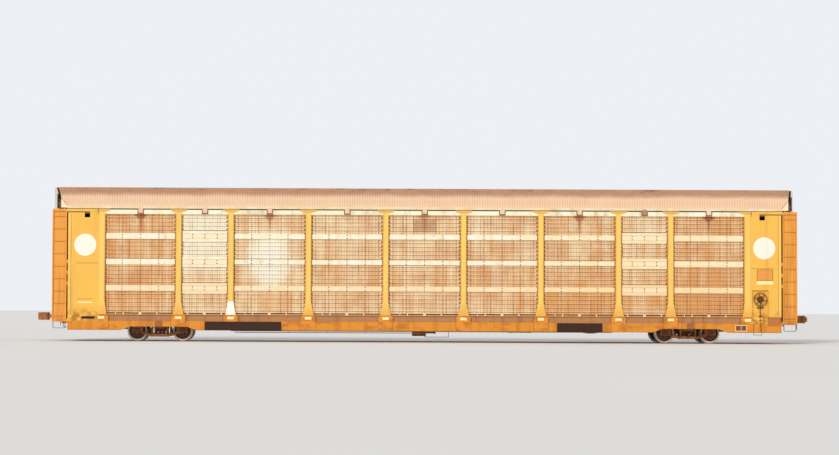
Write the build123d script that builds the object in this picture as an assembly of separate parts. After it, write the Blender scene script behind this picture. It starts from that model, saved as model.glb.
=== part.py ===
"""Enclosed three-deck autorack car: a flat car on two trucks, a screened rack, roof and end doors."""

import math
import os
from itertools import accumulate

from build123d import *

# Millimetres. +X runs along the car, -Y is its near side and +Z is up. Names that end in _H are
# heights above the rail head, and the wheels' flanges hang FLANGE_DEPTH below it, which is where z
# is 0. Each place is worked out from the piece that it meets, so one size can change and the pieces
# still fit together.

# Wheels and axles
FLANGE_DEPTH = 25
WHEEL_RADIUS = 355.5
TREAD_TAPER = 4
BACK_TO_BACK = 1356
RIM_WIDTH = 140
RIM_RADIUS = WHEEL_RADIUS - 55.5
PLATE_DISH = 66
HUB_RADIUS = 115
HUB_BOSS = 35
AXLE_RADIUS = 75
JOURNAL_RADIUS = 68
JOURNAL_CENTRES = 1956
JOURNAL_Y = JOURNAL_CENTRES / 2
BEARING_RADIUS = 105
BEARING_HALF = 86
END_CAP_RADIUS = 84

# Trucks
TRUCK_WHEELBASE = 1676
AXLE_X = TRUCK_WHEELBASE / 2
SIDE_FRAME_WIDTH = 146
SIDE_FRAME_TOP_H = WHEEL_RADIUS + 299.5
SIDE_FRAME_BOTTOM_H = 140
PEDESTAL_TOP_H = WHEEL_RADIUS + 125
PEDESTAL_FOOT_H = WHEEL_RADIUS - 85.5
JAW_HALF = 112
ADAPTER_HALF = 95
DISH_DEPTH = 34
CAST_RADIUS = 28
SPRING_SEAT_H = WHEEL_RADIUS - 115.5
SPRING_HEIGHT = 200
SPRING_RADIUS = 68
SPRING_WAIST = 52
SPRING_TURNS = 4
SPRING_SPACING = 138
BOLSTER_BOTTOM_H = SPRING_SEAT_H + SPRING_HEIGHT
BOLSTER_TOP_H = BOLSTER_BOTTOM_H + 140
BOLSTER_HALF = 205
BOLSTER_WINDOW_HALF = BOLSTER_HALF + 30
CENTRE_PLATE_H = BOLSTER_TOP_H + 25
CENTRE_PLATE_RADIUS = 186
BOWL_RADIUS = 215
SIDE_BEARING_H = CENTRE_PLATE_H + 35
SIDE_BEARING_Y = 635
SIDE_BEARING_GAP = 12
SHOE_CLEARANCE = 8

# Widths
BODY_WIDTH = 3048
SIDE_Y = BODY_WIDTH / 2
SIDE_PLATE = 12
SILL_FACE_Y = SIDE_Y - SIDE_PLATE
SILL_DEPTH = 100
BRIM_Y = SILL_FACE_Y - SILL_DEPTH
POST_FACE_Y = SIDE_Y - 6
PANEL_FACE_Y = SIDE_Y - 8
CURB_RECESS = 45
CENTRE_SILL_WIDTH = 354
WEB = 12
DECK_PLATE = 10

# Lengths from the middle of the car outwards
CENTRE_BAY = 2860
SECOND_BAY = 2840
THIRD_BAY = 2850
SHORT_BAY = 1920
OUTER_BAY = 2830
POST_X = list(accumulate([CENTRE_BAY / 2, SECOND_BAY, THIRD_BAY, SHORT_BAY]))
END_POST_X = POST_X[-1] + OUTER_BAY
BEARER_X = [
    POST_X[0],
    (POST_X[0] + POST_X[1]) / 2,
    POST_X[1],
    (POST_X[1] + POST_X[2]) / 2,
    POST_X[2],
]
POST_WIDTH = 190
END_POST_WIDTH = 240
END_PANEL_LENGTH = 1110
PANEL_X = END_POST_X + END_POST_WIDTH / 2
SILL_END_X = PANEL_X + END_PANEL_LENGTH
END_PLATFORM = 580
BODY_HALF_LENGTH = SILL_END_X + END_PLATFORM
LADDER_INNER_X = SILL_END_X + 50
END_BEARER_X = (SILL_END_X - 1350, SILL_END_X - 600)
TRUCK_X = BODY_HALF_LENGTH - 3926.5
SILL_RAISE_HALF = 1030
SILL_RAISE_RUN = 370
CENTRE_SILL_SLOPE_RUN = 600
CENTRE_SILL_DEEP_X = TRUCK_X - 2453.5
STRIKER_X = BODY_HALF_LENGTH - 210
END_FACE_X = BODY_HALF_LENGTH + 40
END_FLAT_HALF = 635
END_BEVEL_X = END_FACE_X - 220
END_BEVEL_Y = SIDE_Y - 104
END_SLOPE = (END_FACE_X - END_BEVEL_X) / (END_BEVEL_Y - END_FLAT_HALF)

# Heights from the wheels up
PLATFORM_H = 2 * WHEEL_RADIUS + FLANGE_DEPTH + 64
FLOOR_UNDER_H = PLATFORM_H - DECK_PLATE
SILL_TOP_H = PLATFORM_H - 76
SILL_BOTTOM_H = SILL_TOP_H - 338
SILL_RAISED_H = SILL_BOTTOM_H + 134
CURB_TOP_H = SILL_TOP_H + 231
CURB_FLANGE = 15
CENTRE_SILL_BOTTOM_H = CENTRE_PLATE_H + 15
CENTRE_SILL_TOP_H = PLATFORM_H + 230
CENTRE_SILL_DEEP_H = CENTRE_SILL_BOTTOM_H - 200
SCREEN_BOTTOM_H = CURB_TOP_H + 75
SCREEN_HEIGHT = 3620
HEADER_BOTTOM_H = SCREEN_BOTTOM_H + SCREEN_HEIGHT
HEADER_TOP_H = HEADER_BOTTOM_H + 160
POST_TOP_H = HEADER_TOP_H + 20
LADDER_TOP_H = POST_TOP_H - 90
EAVE_H = HEADER_TOP_H + 75
ROOF_RISE = 815
ROOF_TOP_H = EAVE_H + ROOF_RISE
LOWER_CLEARANCE = 1530
MIDDLE_CLEARANCE = 1650
MIDDLE_DECK_H = PLATFORM_H + LOWER_CLEARANCE
UPPER_DECK_H = MIDDLE_DECK_H + MIDDLE_CLEARANCE

# Rack
POST_BRIM = 45
POST_WALL = 10
HEAD_GUSSET_HALF = 240
HEAD_GUSSET_H = POST_TOP_H - 110
FOOT_GUSSET_HALF = 200
FOOT_GUSSET_H = CURB_TOP_H + 515
FOOT_PLATE_HALF = 280
BAY_CLEARANCE = 12
CORRUGATION_PITCH = 148
CORRUGATION_DEPTH = 36
SCREEN_SHEET = 8
DECK_BEAM_DEPTH = 110
WHEEL_GUIDE_Y = 400
GUIDE_HEIGHT = 50
CABLE_HOLE = 200

# Roof and doors
ROOF_SHEET = 16
ROOF_SLOPE = math.tan(math.radians(26))
SHOULDER_Y = 750
SHOULDER_DROP = 30
BOW_DEPTH = 60
DOOR_THICKNESS = 45
DOOR_BOTTOM_H = PLATFORM_H + 80
APRON_TOP_H = CENTRE_SILL_TOP_H + 25
APRON_HALF = END_FLAT_HALF - 35
INNER_LEAF_BOTTOM_H = APRON_TOP_H + 15
DOOR_HEAD_GAP = 12
DOOR_ROOF_GAP = 65
DOOR_EDGE_GAP = 8
RIB_DEPTH = 12
RIB_HEIGHT = 90
RIB_COUNT = 6
LOCK_BAR_Y = 90
LOCK_BAR_RADIUS = 18
LOCK_BAR_STANDOFF = 22
LOCK_BAR_KEEPERS = 5
HINGE_X = END_FACE_X - 250
HINGE_Y = END_BEVEL_Y - 35
HINGE_RADIUS = 14
KNUCKLE_LENGTH = 120
CORNER_POST_TOP_H = EAVE_H + 315
HINGE_LUG_H = (DOOR_BOTTOM_H + 370, HEADER_BOTTOM_H - 1650, EAVE_H + 65)
PIN_CLEARANCE = 0.3

# Corners
LADDER_DEPTH = 54
STILE_WIDTH = 40
RUNG_COUNT = 9
RUNG_RADIUS = 11
FIRST_RUNG_H = PLATFORM_H + 105
RUNG_PITCH = (LADDER_TOP_H - 179 - FIRST_RUNG_H) / (RUNG_COUNT - 1)
TIE_LUG_H = [MIDDLE_DECK_H + rise for rise in (-230, 170, 570)]
PLATFORM_DEPTH = 120
PLATFORM_INNER_Y = 230
STEP_DROP = 235
STEP_BAR = 18

# Couplers
COUPLER_H = CENTRE_SILL_TOP_H - 154
COUPLER_PIN_X = STRIKER_X - 420
PULLING_FACE_X = STRIKER_X + 830
SHANK_WIDTH = 150
SHANK_HEIGHT = 130
HEAD_HALF_HEIGHT = 140
LUG_THICKNESS = 44
COUPLER_PIN_RADIUS = 38
KNUCKLE_PIN_RADIUS = 20
KNUCKLE_PIN_BACK = 80
KNUCKLE_PIN_Y = -112
KNUCKLE_HALF_HEIGHT = 90
HEAD_ROUND = 8

# Brake gear
RESERVOIR_X = (BEARER_X[1] + BEARER_X[2]) / 2
RESERVOIR_HALF_LENGTH = 490
RESERVOIR_RADIUS = 200
RESERVOIR_Y = -760
CYLINDER_RADIUS = 130
CYLINDER_Y = -620
ROD_Y = -950
ROD_H = SILL_BOTTOM_H - 71
PIPE_Y = 700
PIPE_RADIUS = 24
PIPE_H = SILL_BOTTOM_H - 26
VALVE_X = POST_X[2] - 970
BRAKE_WHEEL_RADIUS = 250
BRAKE_WHEEL_X = END_POST_X + 460
BRAKE_WHEEL_H = CURB_TOP_H + 665
BRAKE_SPOKES = 6
NICHE_DEPTH = 75
NICHE_HALF = BRAKE_WHEEL_RADIUS + 50
NICHE_TOP_H = BRAKE_WHEEL_H + BRAKE_WHEEL_RADIUS + 80
GEAR_CASE_X = (SILL_END_X - 500, SILL_END_X - 60)
SIDE_STEP_X = (END_POST_X + 200, END_POST_X + 510)


def up(height):
    """A height above the rail head as a z coordinate."""
    return FLANGE_DEPTH + height


def block(x, y, h):
    """A block between two x values, two y values and two heights above the rail."""
    size = Box(x[1] - x[0], y[1] - y[0], h[1] - h[0])
    return Pos((x[0] + x[1]) / 2, (y[0] + y[1]) / 2, up((h[0] + h[1]) / 2)) * size


def outline_face(points, radius=0):
    """A flat face inside a closed outline of straight lines, its corners rounded by the radius."""
    outline = Wire.make_polygon(points)
    if radius:
        outline = outline.fillet_2d(radius, outline.vertices())
    return Face(outline)


def across(points, y0, y1, radius=0):
    """An outline of (x, height) pairs, carried across the car from y0 to y1."""
    face = outline_face([(x, y0, up(h)) for x, h in points], radius)
    return Solid.extrude(face, Vector(0, y1 - y0, 0))


def along(points, x0, x1):
    """An outline of (y, height) pairs, carried along the car from x0 to x1."""
    face = outline_face([(x0, y, up(h)) for y, h in points])
    return Solid.extrude(face, Vector(x1 - x0, 0, 0))


def upward(points, h0, h1, radius=0):
    """An outline of (x, y) pairs, carried up from one height to another."""
    face = outline_face([(x, y, up(h0)) for x, y in points], radius)
    return Solid.extrude(face, Vector(0, 0, h1 - h0))


def rod(start, end, radius):
    """A round bar between two points given as x, y and height above the rail."""
    a = Vector(start[0], start[1], up(start[2]))
    b = Vector(end[0], end[1], up(end[2]))
    return Solid.make_cylinder(radius, (b - a).length, Plane(origin=a, z_dir=b - a))


def rounded_rod(start, end, radius, edge):
    """A round bar whose two ends are rounded over."""
    bar = rod(start, end, radius)
    return fillet(bar.edges().filter_by(GeomType.CIRCLE), edge)


def hexagon(y, h, radius):
    """The corners of a six-sided bar's section about a y and a height."""
    turns = [math.radians(60 * n) for n in range(6)]
    return [(y + radius * math.cos(turn), h + radius * math.sin(turn)) for turn in turns]


def far_side(piece):
    """The piece mirrored to the other side of the car."""
    return mirror(piece, Plane.XZ)


def other_end(piece):
    """The piece turned half round, to the other end and side of the car."""
    return Rot(0, 0, 180) * piece


def both_sides(piece):
    return [piece, far_side(piece)]


def both_ends(piece):
    return [piece, mirror(piece, Plane.YZ)]


def four_corners(piece):
    return [copy for side in both_sides(piece) for copy in both_ends(side)]


def together(pieces):
    """Pieces that don't touch, as one compound of solids."""
    return Compound([solid for piece in pieces for solid in piece.solids()])


def fused(pieces):
    first, *rest = pieces
    return first.fuse(*rest) if rest else first


def mirrored_outline(half):
    """Points whose first value runs from 0 up, then their mirror images in reverse order."""
    return half + [(-first, second) for first, second in reversed(half) if first > 0]


# Trucks, each made about x 0


def wheelset():
    """One axle with its two wheels, turned about the axle's own line."""
    back = BACK_TO_BACK / 2
    face = back + RIM_WIDTH
    tip = WHEEL_RADIUS + FLANGE_DEPTH
    half = [
        (0, AXLE_RADIUS),
        (back - 32, AXLE_RADIUS),
        (back - 32, HUB_RADIUS),
        (back + 38, HUB_RADIUS + HUB_BOSS),
        (back + 16, RIM_RADIUS - 10),
        (back, RIM_RADIUS),
        (back, tip),
        (back + 20, tip),
        (back + 36, WHEEL_RADIUS + 1),
        (face, WHEEL_RADIUS - TREAD_TAPER),
        (face, RIM_RADIUS),
        (back + PLATE_DISH, RIM_RADIUS - 15),
        (back + PLATE_DISH + 12, HUB_RADIUS + HUB_BOSS),
        (face + 6, HUB_RADIUS),
        (face + 6, JOURNAL_RADIUS),
        (JOURNAL_Y + 92, JOURNAL_RADIUS),
        (JOURNAL_Y + 92, END_CAP_RADIUS),
        (JOURNAL_Y + 124, END_CAP_RADIUS),
        (JOURNAL_Y + 124, 0),
    ]
    turned = revolve(outline_face([(0, y, r) for y, r in mirrored_outline(half)]), Axis.Y)
    return Pos(0, 0, up(WHEEL_RADIUS)) * turned


def side_frame():
    """A cast side frame at +y: pedestals, arched top, sloping bottom and three windows."""
    y0 = JOURNAL_Y - SIDE_FRAME_WIDTH / 2
    y1 = y0 + SIDE_FRAME_WIDTH
    toe = AXLE_X + JAW_HALF + 63
    half = [
        (0, SIDE_FRAME_TOP_H),
        (AXLE_X - 408, SIDE_FRAME_TOP_H),
        (AXLE_X - 78, SIDE_FRAME_TOP_H - 65),
        (AXLE_X + 122, SIDE_FRAME_TOP_H - 85),
        (toe, PEDESTAL_TOP_H + 20),
        (toe, PEDESTAL_FOOT_H),
        (AXLE_X + JAW_HALF, PEDESTAL_FOOT_H),
        (AXLE_X + JAW_HALF, PEDESTAL_TOP_H),
        (AXLE_X - JAW_HALF, PEDESTAL_TOP_H),
        (AXLE_X - JAW_HALF, PEDESTAL_FOOT_H),
        (AXLE_X - JAW_HALF - 86, SPRING_SEAT_H),
        (330, SIDE_FRAME_BOTTOM_H),
        (0, SIDE_FRAME_BOTTOM_H),
    ]
    frame = across(mirrored_outline(half), y0, y1)
    bolster_window = [
        (-BOLSTER_WINDOW_HALF, SPRING_SEAT_H),
        (BOLSTER_WINDOW_HALF, SPRING_SEAT_H),
        (BOLSTER_WINDOW_HALF, BOLSTER_TOP_H + 5),
        (-BOLSTER_WINDOW_HALF, BOLSTER_TOP_H + 5),
    ]
    cuts = [across(bolster_window, y0 - 1, y1 + 1)]
    window = [
        (310, SPRING_SEAT_H - 5),
        (620, SPRING_SEAT_H + 85),
        (620, BOLSTER_TOP_H - 100),
        (560, BOLSTER_TOP_H - 60),
        (310, BOLSTER_TOP_H),
    ]
    dish = [
        (290, BOLSTER_TOP_H + 20),
        (430, BOLSTER_TOP_H + 35),
        (700, BOLSTER_TOP_H - 35),
        (700, SPRING_SEAT_H + 60),
        (620, SPRING_SEAT_H + 25),
        (340, SPRING_SEAT_H - 55),
        (290, SPRING_SEAT_H - 55),
    ]
    for end in (-1, 1):
        opening = [(end * x, h) for x, h in window]
        hollow = [(end * x, h) for x, h in dish]
        cuts.append(across(opening, y0 - 1, y1 + 1, CAST_RADIUS))
        cuts.append(across(hollow, y1 - DISH_DEPTH, y1 + 1, CAST_RADIUS / 2))
    return frame.cut(*cuts)


def bearing():
    """The bearing's cup round a journal at +x and +y, and the adapter in the pedestal above it."""
    cup_ends = [(AXLE_X, JOURNAL_Y + side * BEARING_HALF, WHEEL_RADIUS) for side in (-1, 1)]
    bore_ends = [(AXLE_X, JOURNAL_Y + side * (BEARING_HALF + 4), WHEEL_RADIUS) for side in (-1, 1)]
    adapter_x = (AXLE_X - ADAPTER_HALF, AXLE_X + ADAPTER_HALF)
    adapter = block(adapter_x, (JOURNAL_Y - 70, JOURNAL_Y + 70), (WHEEL_RADIUS, PEDESTAL_TOP_H))
    cup = rod(*cup_ends, BEARING_RADIUS).fuse(adapter)
    return cup.cut(rod(*bore_ends, JOURNAL_RADIUS + PIN_CLEARANCE))


def spring(x, y):
    """One coil spring between the seat and the bolster, as a stack of bulging turns."""
    rise = SPRING_HEIGHT / SPRING_TURNS
    outline = [(0, 0)]
    for turn in range(SPRING_TURNS):
        outline.append((SPRING_WAIST, turn * rise))
        outline.append((SPRING_RADIUS, (turn + 0.5) * rise))
    outline.append((SPRING_WAIST, SPRING_HEIGHT))
    outline.append((0, SPRING_HEIGHT))
    turned = revolve(outline_face([(r, 0, z) for r, z in outline]), Axis.Z)
    return Pos(x, y, up(SPRING_SEAT_H)) * turned


def truck_bolster():
    """The cross beam on the springs, deeper in the middle, with its bowl and side bearings."""
    half = [
        (0, BOLSTER_TOP_H),
        (JOURNAL_Y + 60, BOLSTER_TOP_H - 20),
        (JOURNAL_Y + 60, BOLSTER_BOTTOM_H),
        (JOURNAL_Y - 120, BOLSTER_BOTTOM_H),
        (420, BOLSTER_BOTTOM_H - 120),
        (0, BOLSTER_BOTTOM_H - 120),
    ]
    beam = along(mirrored_outline(half), -BOLSTER_HALF, BOLSTER_HALF)
    bowl = rod((0, 0, BOLSTER_TOP_H - 20), (0, 0, CENTRE_PLATE_H + 7), BOWL_RADIUS)
    floor_h = CENTRE_PLATE_H - PIN_CLEARANCE
    recess = rod((0, 0, floor_h), (0, 0, CENTRE_PLATE_H + 30), CENTRE_PLATE_RADIUS + 6)
    bearings = []
    for y in (-SIDE_BEARING_Y, SIDE_BEARING_Y):
        bearings.append(block((-110, 110), (y - 60, y + 60), (BOLSTER_TOP_H - 20, SIDE_BEARING_H)))
    return beam.fuse(bowl, *bearings).cut(recess)


def brake_beam():
    """A brake beam inside the wheels at +x, between the side frames, with a shoe at each tread."""
    reach = JOURNAL_Y - SIDE_FRAME_WIDTH / 2
    inner_x = AXLE_X - 478
    beam_h = SPRING_SEAT_H - 20
    beam = block((inner_x, inner_x + 60), (-reach, reach), (beam_h - 30, beam_h + 30))
    strut = block((inner_x - 60, inner_x), (-60, 60), (beam_h - 25, beam_h + 25))
    pieces = [beam, strut]
    shoe_y = BACK_TO_BACK / 2 + 76
    axle_ends = [(AXLE_X, y, WHEEL_RADIUS) for y in (-reach, reach)]
    clear = rod(*axle_ends, WHEEL_RADIUS + SHOE_CLEARANCE)
    for side in (-1, 1):
        shoe_ys = sorted((side * (shoe_y - 40), side * (shoe_y + 40)))
        shoe = block((inner_x + 40, inner_x + 160), shoe_ys, (beam_h + 10, beam_h + 210))
        pieces.append(shoe.cut(clear))
    return fused(pieces)


def truck_pieces(x):
    """The pieces of the truck whose centre is at x, by name, with its two wheelsets."""
    place = Pos(x, 0, 0)
    columns = (-SPRING_SPACING, 0, SPRING_SPACING)
    springs = [spring(column, y) for column in columns for y in (-JOURNAL_Y, JOURNAL_Y)]
    sets = {
        "side_frames": together(both_sides(side_frame())),
        "bearings": together(four_corners(bearing())),
        "springs": together(springs),
        "bolster": truck_bolster(),
        "brake_beams": together(both_ends(brake_beam())),
        "wheelset_inner": Pos(-math.copysign(AXLE_X, x), 0, 0) * wheelset(),
        "wheelset_outer": Pos(math.copysign(AXLE_X, x), 0, 0) * wheelset(),
    }
    return {name: place * piece for name, piece in sets.items()}


# Underframe


def centre_sill():
    """The hollow backbone with its centre plates, deeper between the trucks and open at its ends."""
    half = CENTRE_SILL_WIDTH / 2
    end_x = STRIKER_X - 20
    deep_end = CENTRE_SILL_DEEP_X + CENTRE_SILL_SLOPE_RUN

    def profile(end, inset):
        return mirrored_outline([
            (end, CENTRE_SILL_TOP_H - inset),
            (end, CENTRE_SILL_BOTTOM_H + inset),
            (deep_end, CENTRE_SILL_BOTTOM_H + inset),
            (CENTRE_SILL_DEEP_X, CENTRE_SILL_DEEP_H + inset),
        ])

    hollow = across(profile(end_x + 40, WEB), -half + WEB, half - WEB)
    sill = across(profile(end_x, 0), -half, half).cut(hollow)
    heights = (CENTRE_SILL_BOTTOM_H, CENTRE_SILL_TOP_H)
    mouth_h = (COUPLER_H - 126, CENTRE_SILL_TOP_H - WEB)
    striker = block((end_x, STRIKER_X), (-half - 40, half + 40), heights)
    mouth = block((end_x - 10, STRIKER_X + 10), (-half + WEB, half - WEB), mouth_h)
    plate_ends = [(TRUCK_X, 0, h) for h in (CENTRE_PLATE_H, CENTRE_SILL_BOTTOM_H)]
    plate = rod(*plate_ends, CENTRE_PLATE_RADIUS)
    return sill.fuse(*both_ends(striker.cut(mouth)), *both_ends(plate))


def draft_gears():
    """At each end, the gear block in the sill, its yoke's two straps and the coupler's pin."""
    half = CENTRE_SILL_WIDTH / 2 - WEB
    low = COUPLER_H - SHANK_HEIGHT / 2
    high = COUPLER_H + SHANK_HEIGHT / 2
    gear_end = COUPLER_PIN_X - 250
    gear = block((gear_end - 650, gear_end), (-half, half), (low - 60, high + 60))
    straps = []
    for h in (low - 40, high + 10):
        straps.append(block((gear_end, COUPLER_PIN_X + 90), (-80, 80), (h, h + 30)))
    pin = rod((COUPLER_PIN_X, 0, low - 30), (COUPLER_PIN_X, 0, high + 30), COUPLER_PIN_RADIUS)
    return together(both_ends(fused([gear, *straps, pin])))


def side_sill():
    """The channel along the far side, open inwards, raised over the trucks to let them turn."""
    raise_in = TRUCK_X - SILL_RAISE_HALF
    raise_out = TRUCK_X + SILL_RAISE_HALF

    def profile(inset):
        return mirrored_outline([
            (SILL_END_X - inset, SILL_TOP_H - inset),
            (SILL_END_X - inset, SILL_BOTTOM_H + inset),
            (raise_out + SILL_RAISE_RUN, SILL_BOTTOM_H + inset),
            (raise_out, SILL_RAISED_H + inset),
            (raise_in, SILL_RAISED_H + inset),
            (raise_in - SILL_RAISE_RUN, SILL_BOTTOM_H + inset),
        ])

    pan = across(profile(0), BRIM_Y, SILL_FACE_Y)
    hollow = across(profile(SIDE_PLATE), BRIM_Y - 1, SILL_FACE_Y - SIDE_PLATE)
    pad = block((TRUCK_X - 130, TRUCK_X + 130), (SILL_FACE_Y, SIDE_Y), (SILL_RAISED_H, SILL_TOP_H))
    return pan.cut(hollow).fuse(*both_ends(pad))


def deck_curb():
    """The edge channel on the sill, whose top flange carries the posts and the screens."""
    web = SILL_FACE_Y - CURB_RECESS
    lip = SILL_FACE_Y - 8
    outline = [
        (BRIM_Y, SILL_TOP_H),
        (web, SILL_TOP_H),
        (web, CURB_TOP_H - CURB_FLANGE),
        (lip, CURB_TOP_H - CURB_FLANGE),
        (lip, CURB_TOP_H),
        (BRIM_Y, CURB_TOP_H),
        (BRIM_Y, CURB_TOP_H - CURB_FLANGE),
        (web - WEB, CURB_TOP_H - CURB_FLANGE),
        (web - WEB, SILL_TOP_H + WEB),
        (BRIM_Y, SILL_TOP_H + WEB),
    ]
    return along(outline, -SILL_END_X, SILL_END_X)


def cross_bearers():
    """The flat car's cross members, from the centre sill to the side sills."""
    inner = CENTRE_SILL_WIDTH / 2
    low = SILL_BOTTOM_H + SIDE_PLATE
    rise = 60
    flange = 14
    pieces = []
    for x in BEARER_X:
        web = [
            (inner, FLOOR_UNDER_H),
            (inner, low),
            (BRIM_Y, low + rise),
            (BRIM_Y, FLOOR_UNDER_H),
        ]
        foot = [
            (inner, low),
            (inner, low + flange),
            (BRIM_Y, low + rise + flange),
            (BRIM_Y, low + rise),
        ]
        pieces.append(along(web, x - 8, x + 8).fuse(along(foot, x - 75, x + 75)))
    for x in END_BEARER_X:
        depth = (FLOOR_UNDER_H - 150, FLOOR_UNDER_H)
        pieces.append(block((x - 30, x + 30), (inner, BRIM_Y), depth))
    return together([copy for piece in pieces for copy in four_corners(piece)])


def body_bolsters():
    """Over each truck, a box beam from the centre sill to the side sill, with its bearing plate."""
    inner = CENTRE_SILL_WIDTH / 2
    under = CENTRE_SILL_BOTTOM_H + 80
    outline = [
        (inner, CENTRE_SILL_BOTTOM_H + 5),
        (inner, FLOOR_UNDER_H),
        (BRIM_Y, FLOOR_UNDER_H),
        (BRIM_Y, under),
        (SIDE_BEARING_Y - 75, under),
        (SIDE_BEARING_Y - 215, under - 40),
    ]
    beam = along(outline, TRUCK_X - 130, TRUCK_X + 130)
    plate_y = (SIDE_BEARING_Y - 60, SIDE_BEARING_Y + 60)
    plate_h = (SIDE_BEARING_H + SIDE_BEARING_GAP, under)
    plate = block((TRUCK_X - 110, TRUCK_X + 110), plate_y, plate_h)
    return together(four_corners(beam.fuse(plate)))


def deck_lower():
    """The flat car's floor plates, one each side of the raised centre sill, with wheel guides."""
    inner = CENTRE_SILL_WIDTH / 2
    outer = SILL_FACE_Y - CURB_RECESS - WEB
    outline = [
        (inner, FLOOR_UNDER_H),
        (outer, FLOOR_UNDER_H),
        (outer, PLATFORM_H),
        (WHEEL_GUIDE_Y + 20, PLATFORM_H),
        (WHEEL_GUIDE_Y + 10, PLATFORM_H + GUIDE_HEIGHT),
        (WHEEL_GUIDE_Y, PLATFORM_H + GUIDE_HEIGHT),
        (WHEEL_GUIDE_Y, PLATFORM_H),
        (inner, PLATFORM_H),
    ]
    return together(both_sides(along(outline, -SILL_END_X, SILL_END_X)))


def end_sills():
    """At each end and side, the end beam, the platform outside the door and its edge bar."""
    inner = CENTRE_SILL_WIDTH / 2
    top = PLATFORM_H
    outer = SIDE_Y - 4
    beam_x = SILL_END_X + 40
    lip_x = BODY_HALF_LENGTH - 40
    apron_x = END_FACE_X - 90
    beam = block((SILL_END_X, beam_x), (inner, outer), (top - 160, top))
    plate = block((beam_x, lip_x), (PLATFORM_INNER_Y, outer - 40), (top - 20, top))
    lip = block((lip_x, BODY_HALF_LENGTH), (PLATFORM_INNER_Y, outer), (top - PLATFORM_DEPTH, top))
    side = block((beam_x, lip_x), (outer - 40, outer), (top - PLATFORM_DEPTH, top))
    apron = block((apron_x, apron_x + WEB), (PLATFORM_INNER_Y, APRON_HALF), (top, APRON_TOP_H))
    return together(four_corners(fused([beam, plate, lip, side, apron])))


def corner_steps():
    """At each corner, a stirrup step of flat bar under the platform."""
    high = PLATFORM_H - PLATFORM_DEPTH
    low = high - STEP_DROP
    x0, x1 = SILL_END_X + 80, BODY_HALF_LENGTH - 40
    bend = 30

    def profile(inset, top):
        return [
            (x0 + inset, top),
            (x0 + inset, low + bend + inset / 2),
            (x0 + bend + inset / 2, low + inset),
            (x1 - bend - inset / 2, low + inset),
            (x1 - inset, low + bend + inset / 2),
            (x1 - inset, top),
        ]

    y0, y1 = SIDE_Y - 44, SIDE_Y - 4
    inside = across(profile(STEP_BAR, high + 1), y0 - 1, y1 + 1)
    return together(four_corners(across(profile(0, high), y0, y1).cut(inside)))


# Rack


def post(x, width, gusset_sides=(-1, 1)):
    """A far side post: a channel with inner brims, and its plate with head and foot gussets."""
    half = width / 2
    wall = POST_WALL
    heights = (CURB_TOP_H, HEADER_BOTTOM_H)
    channel = block((x - half, x + half), (BRIM_Y, SILL_FACE_Y), heights)
    inside_x = (x - half + wall, x + half - wall)
    inside_y = (BRIM_Y - 1, SILL_FACE_Y - wall)
    hollow = block(inside_x, inside_y, (heights[0] - 1, heights[1] + 1))
    brims = []
    for side in gusset_sides:
        brim_x = sorted((x + side * half, x + side * (half + POST_BRIM)))
        brims.append(block(brim_x, (BRIM_Y, BRIM_Y + wall), heights))
    foot = SILL_BOTTOM_H + 20
    flared = [
        (0, POST_TOP_H),
        (HEAD_GUSSET_HALF, POST_TOP_H),
        (HEAD_GUSSET_HALF, HEAD_GUSSET_H),
        (half, HEAD_GUSSET_H - 70),
        (half, FOOT_GUSSET_H),
        (FOOT_GUSSET_HALF, CURB_TOP_H),
        (FOOT_PLATE_HALF, CURB_TOP_H - 60),
        (FOOT_PLATE_HALF, foot),
        (0, foot),
    ]
    plain = [(0, POST_TOP_H), (half, POST_TOP_H), (half, foot), (0, foot)]
    right = flared if 1 in gusset_sides else plain
    left = flared if -1 in gusset_sides else plain
    outline = [(x + dx, h) for dx, h in right]
    outline += [(x - dx, h) for dx, h in reversed(left) if dx > 0]
    return channel.cut(hollow).fuse(across(outline, SILL_FACE_Y, POST_FACE_Y), *brims)


def side_posts():
    """All the posts of the far side."""
    pieces = [post(end * x, POST_WIDTH) for x in POST_X for end in (-1, 1)]
    pieces += [post(end * END_POST_X, END_POST_WIDTH, (-end,)) for end in (-1, 1)]
    return together(pieces)


def bay_edges():
    """The x values that the screens of the nine bays run between."""
    stations = sorted([end * x for x in POST_X for end in (-1, 1)])
    half = POST_WIDTH / 2 + BAY_CLEARANCE
    inner = END_POST_X - END_POST_WIDTH / 2 - BAY_CLEARANCE
    starts = [-inner] + [x + half for x in stations]
    ends = [x - half for x in stations] + [inner]
    return list(zip(starts, ends))


def screens():
    """The far side's screens, one corrugated sheet a bay, on the posts' brims."""
    count = int(SCREEN_HEIGHT / CORRUGATION_PITCH)
    margin = (SCREEN_HEIGHT - count * CORRUGATION_PITCH) / 2
    valley = BRIM_Y + POST_WALL + SCREEN_SHEET
    crest = valley + CORRUGATION_DEPTH
    face = [(valley, SCREEN_BOTTOM_H)]
    for turn in range(count):
        start = SCREEN_BOTTOM_H + margin + turn * CORRUGATION_PITCH
        face += [(valley, start), (crest, start + CORRUGATION_PITCH / 2)]
    face += [(valley, HEADER_BOTTOM_H - margin), (valley, HEADER_BOTTOM_H)]
    back = [(y - SCREEN_SHEET, h) for y, h in reversed(face)]
    return together([along(face + back, x0, x1) for x0, x1 in bay_edges()])


def top_rails():
    """Along each side, the channel on the posts that carries the roof."""
    inner = BRIM_Y - 10
    outline = [
        (SILL_FACE_Y, HEADER_TOP_H),
        (SILL_FACE_Y, HEADER_BOTTOM_H),
        (inner, HEADER_BOTTOM_H),
        (inner, HEADER_BOTTOM_H + WEB),
        (SILL_FACE_Y - WEB, HEADER_BOTTOM_H + WEB),
        (SILL_FACE_Y - WEB, HEADER_TOP_H - WEB),
        (inner, HEADER_TOP_H - WEB),
        (inner, HEADER_TOP_H),
    ]
    return together(both_sides(along(outline, -LADDER_INNER_X, LADDER_INNER_X)))


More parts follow.
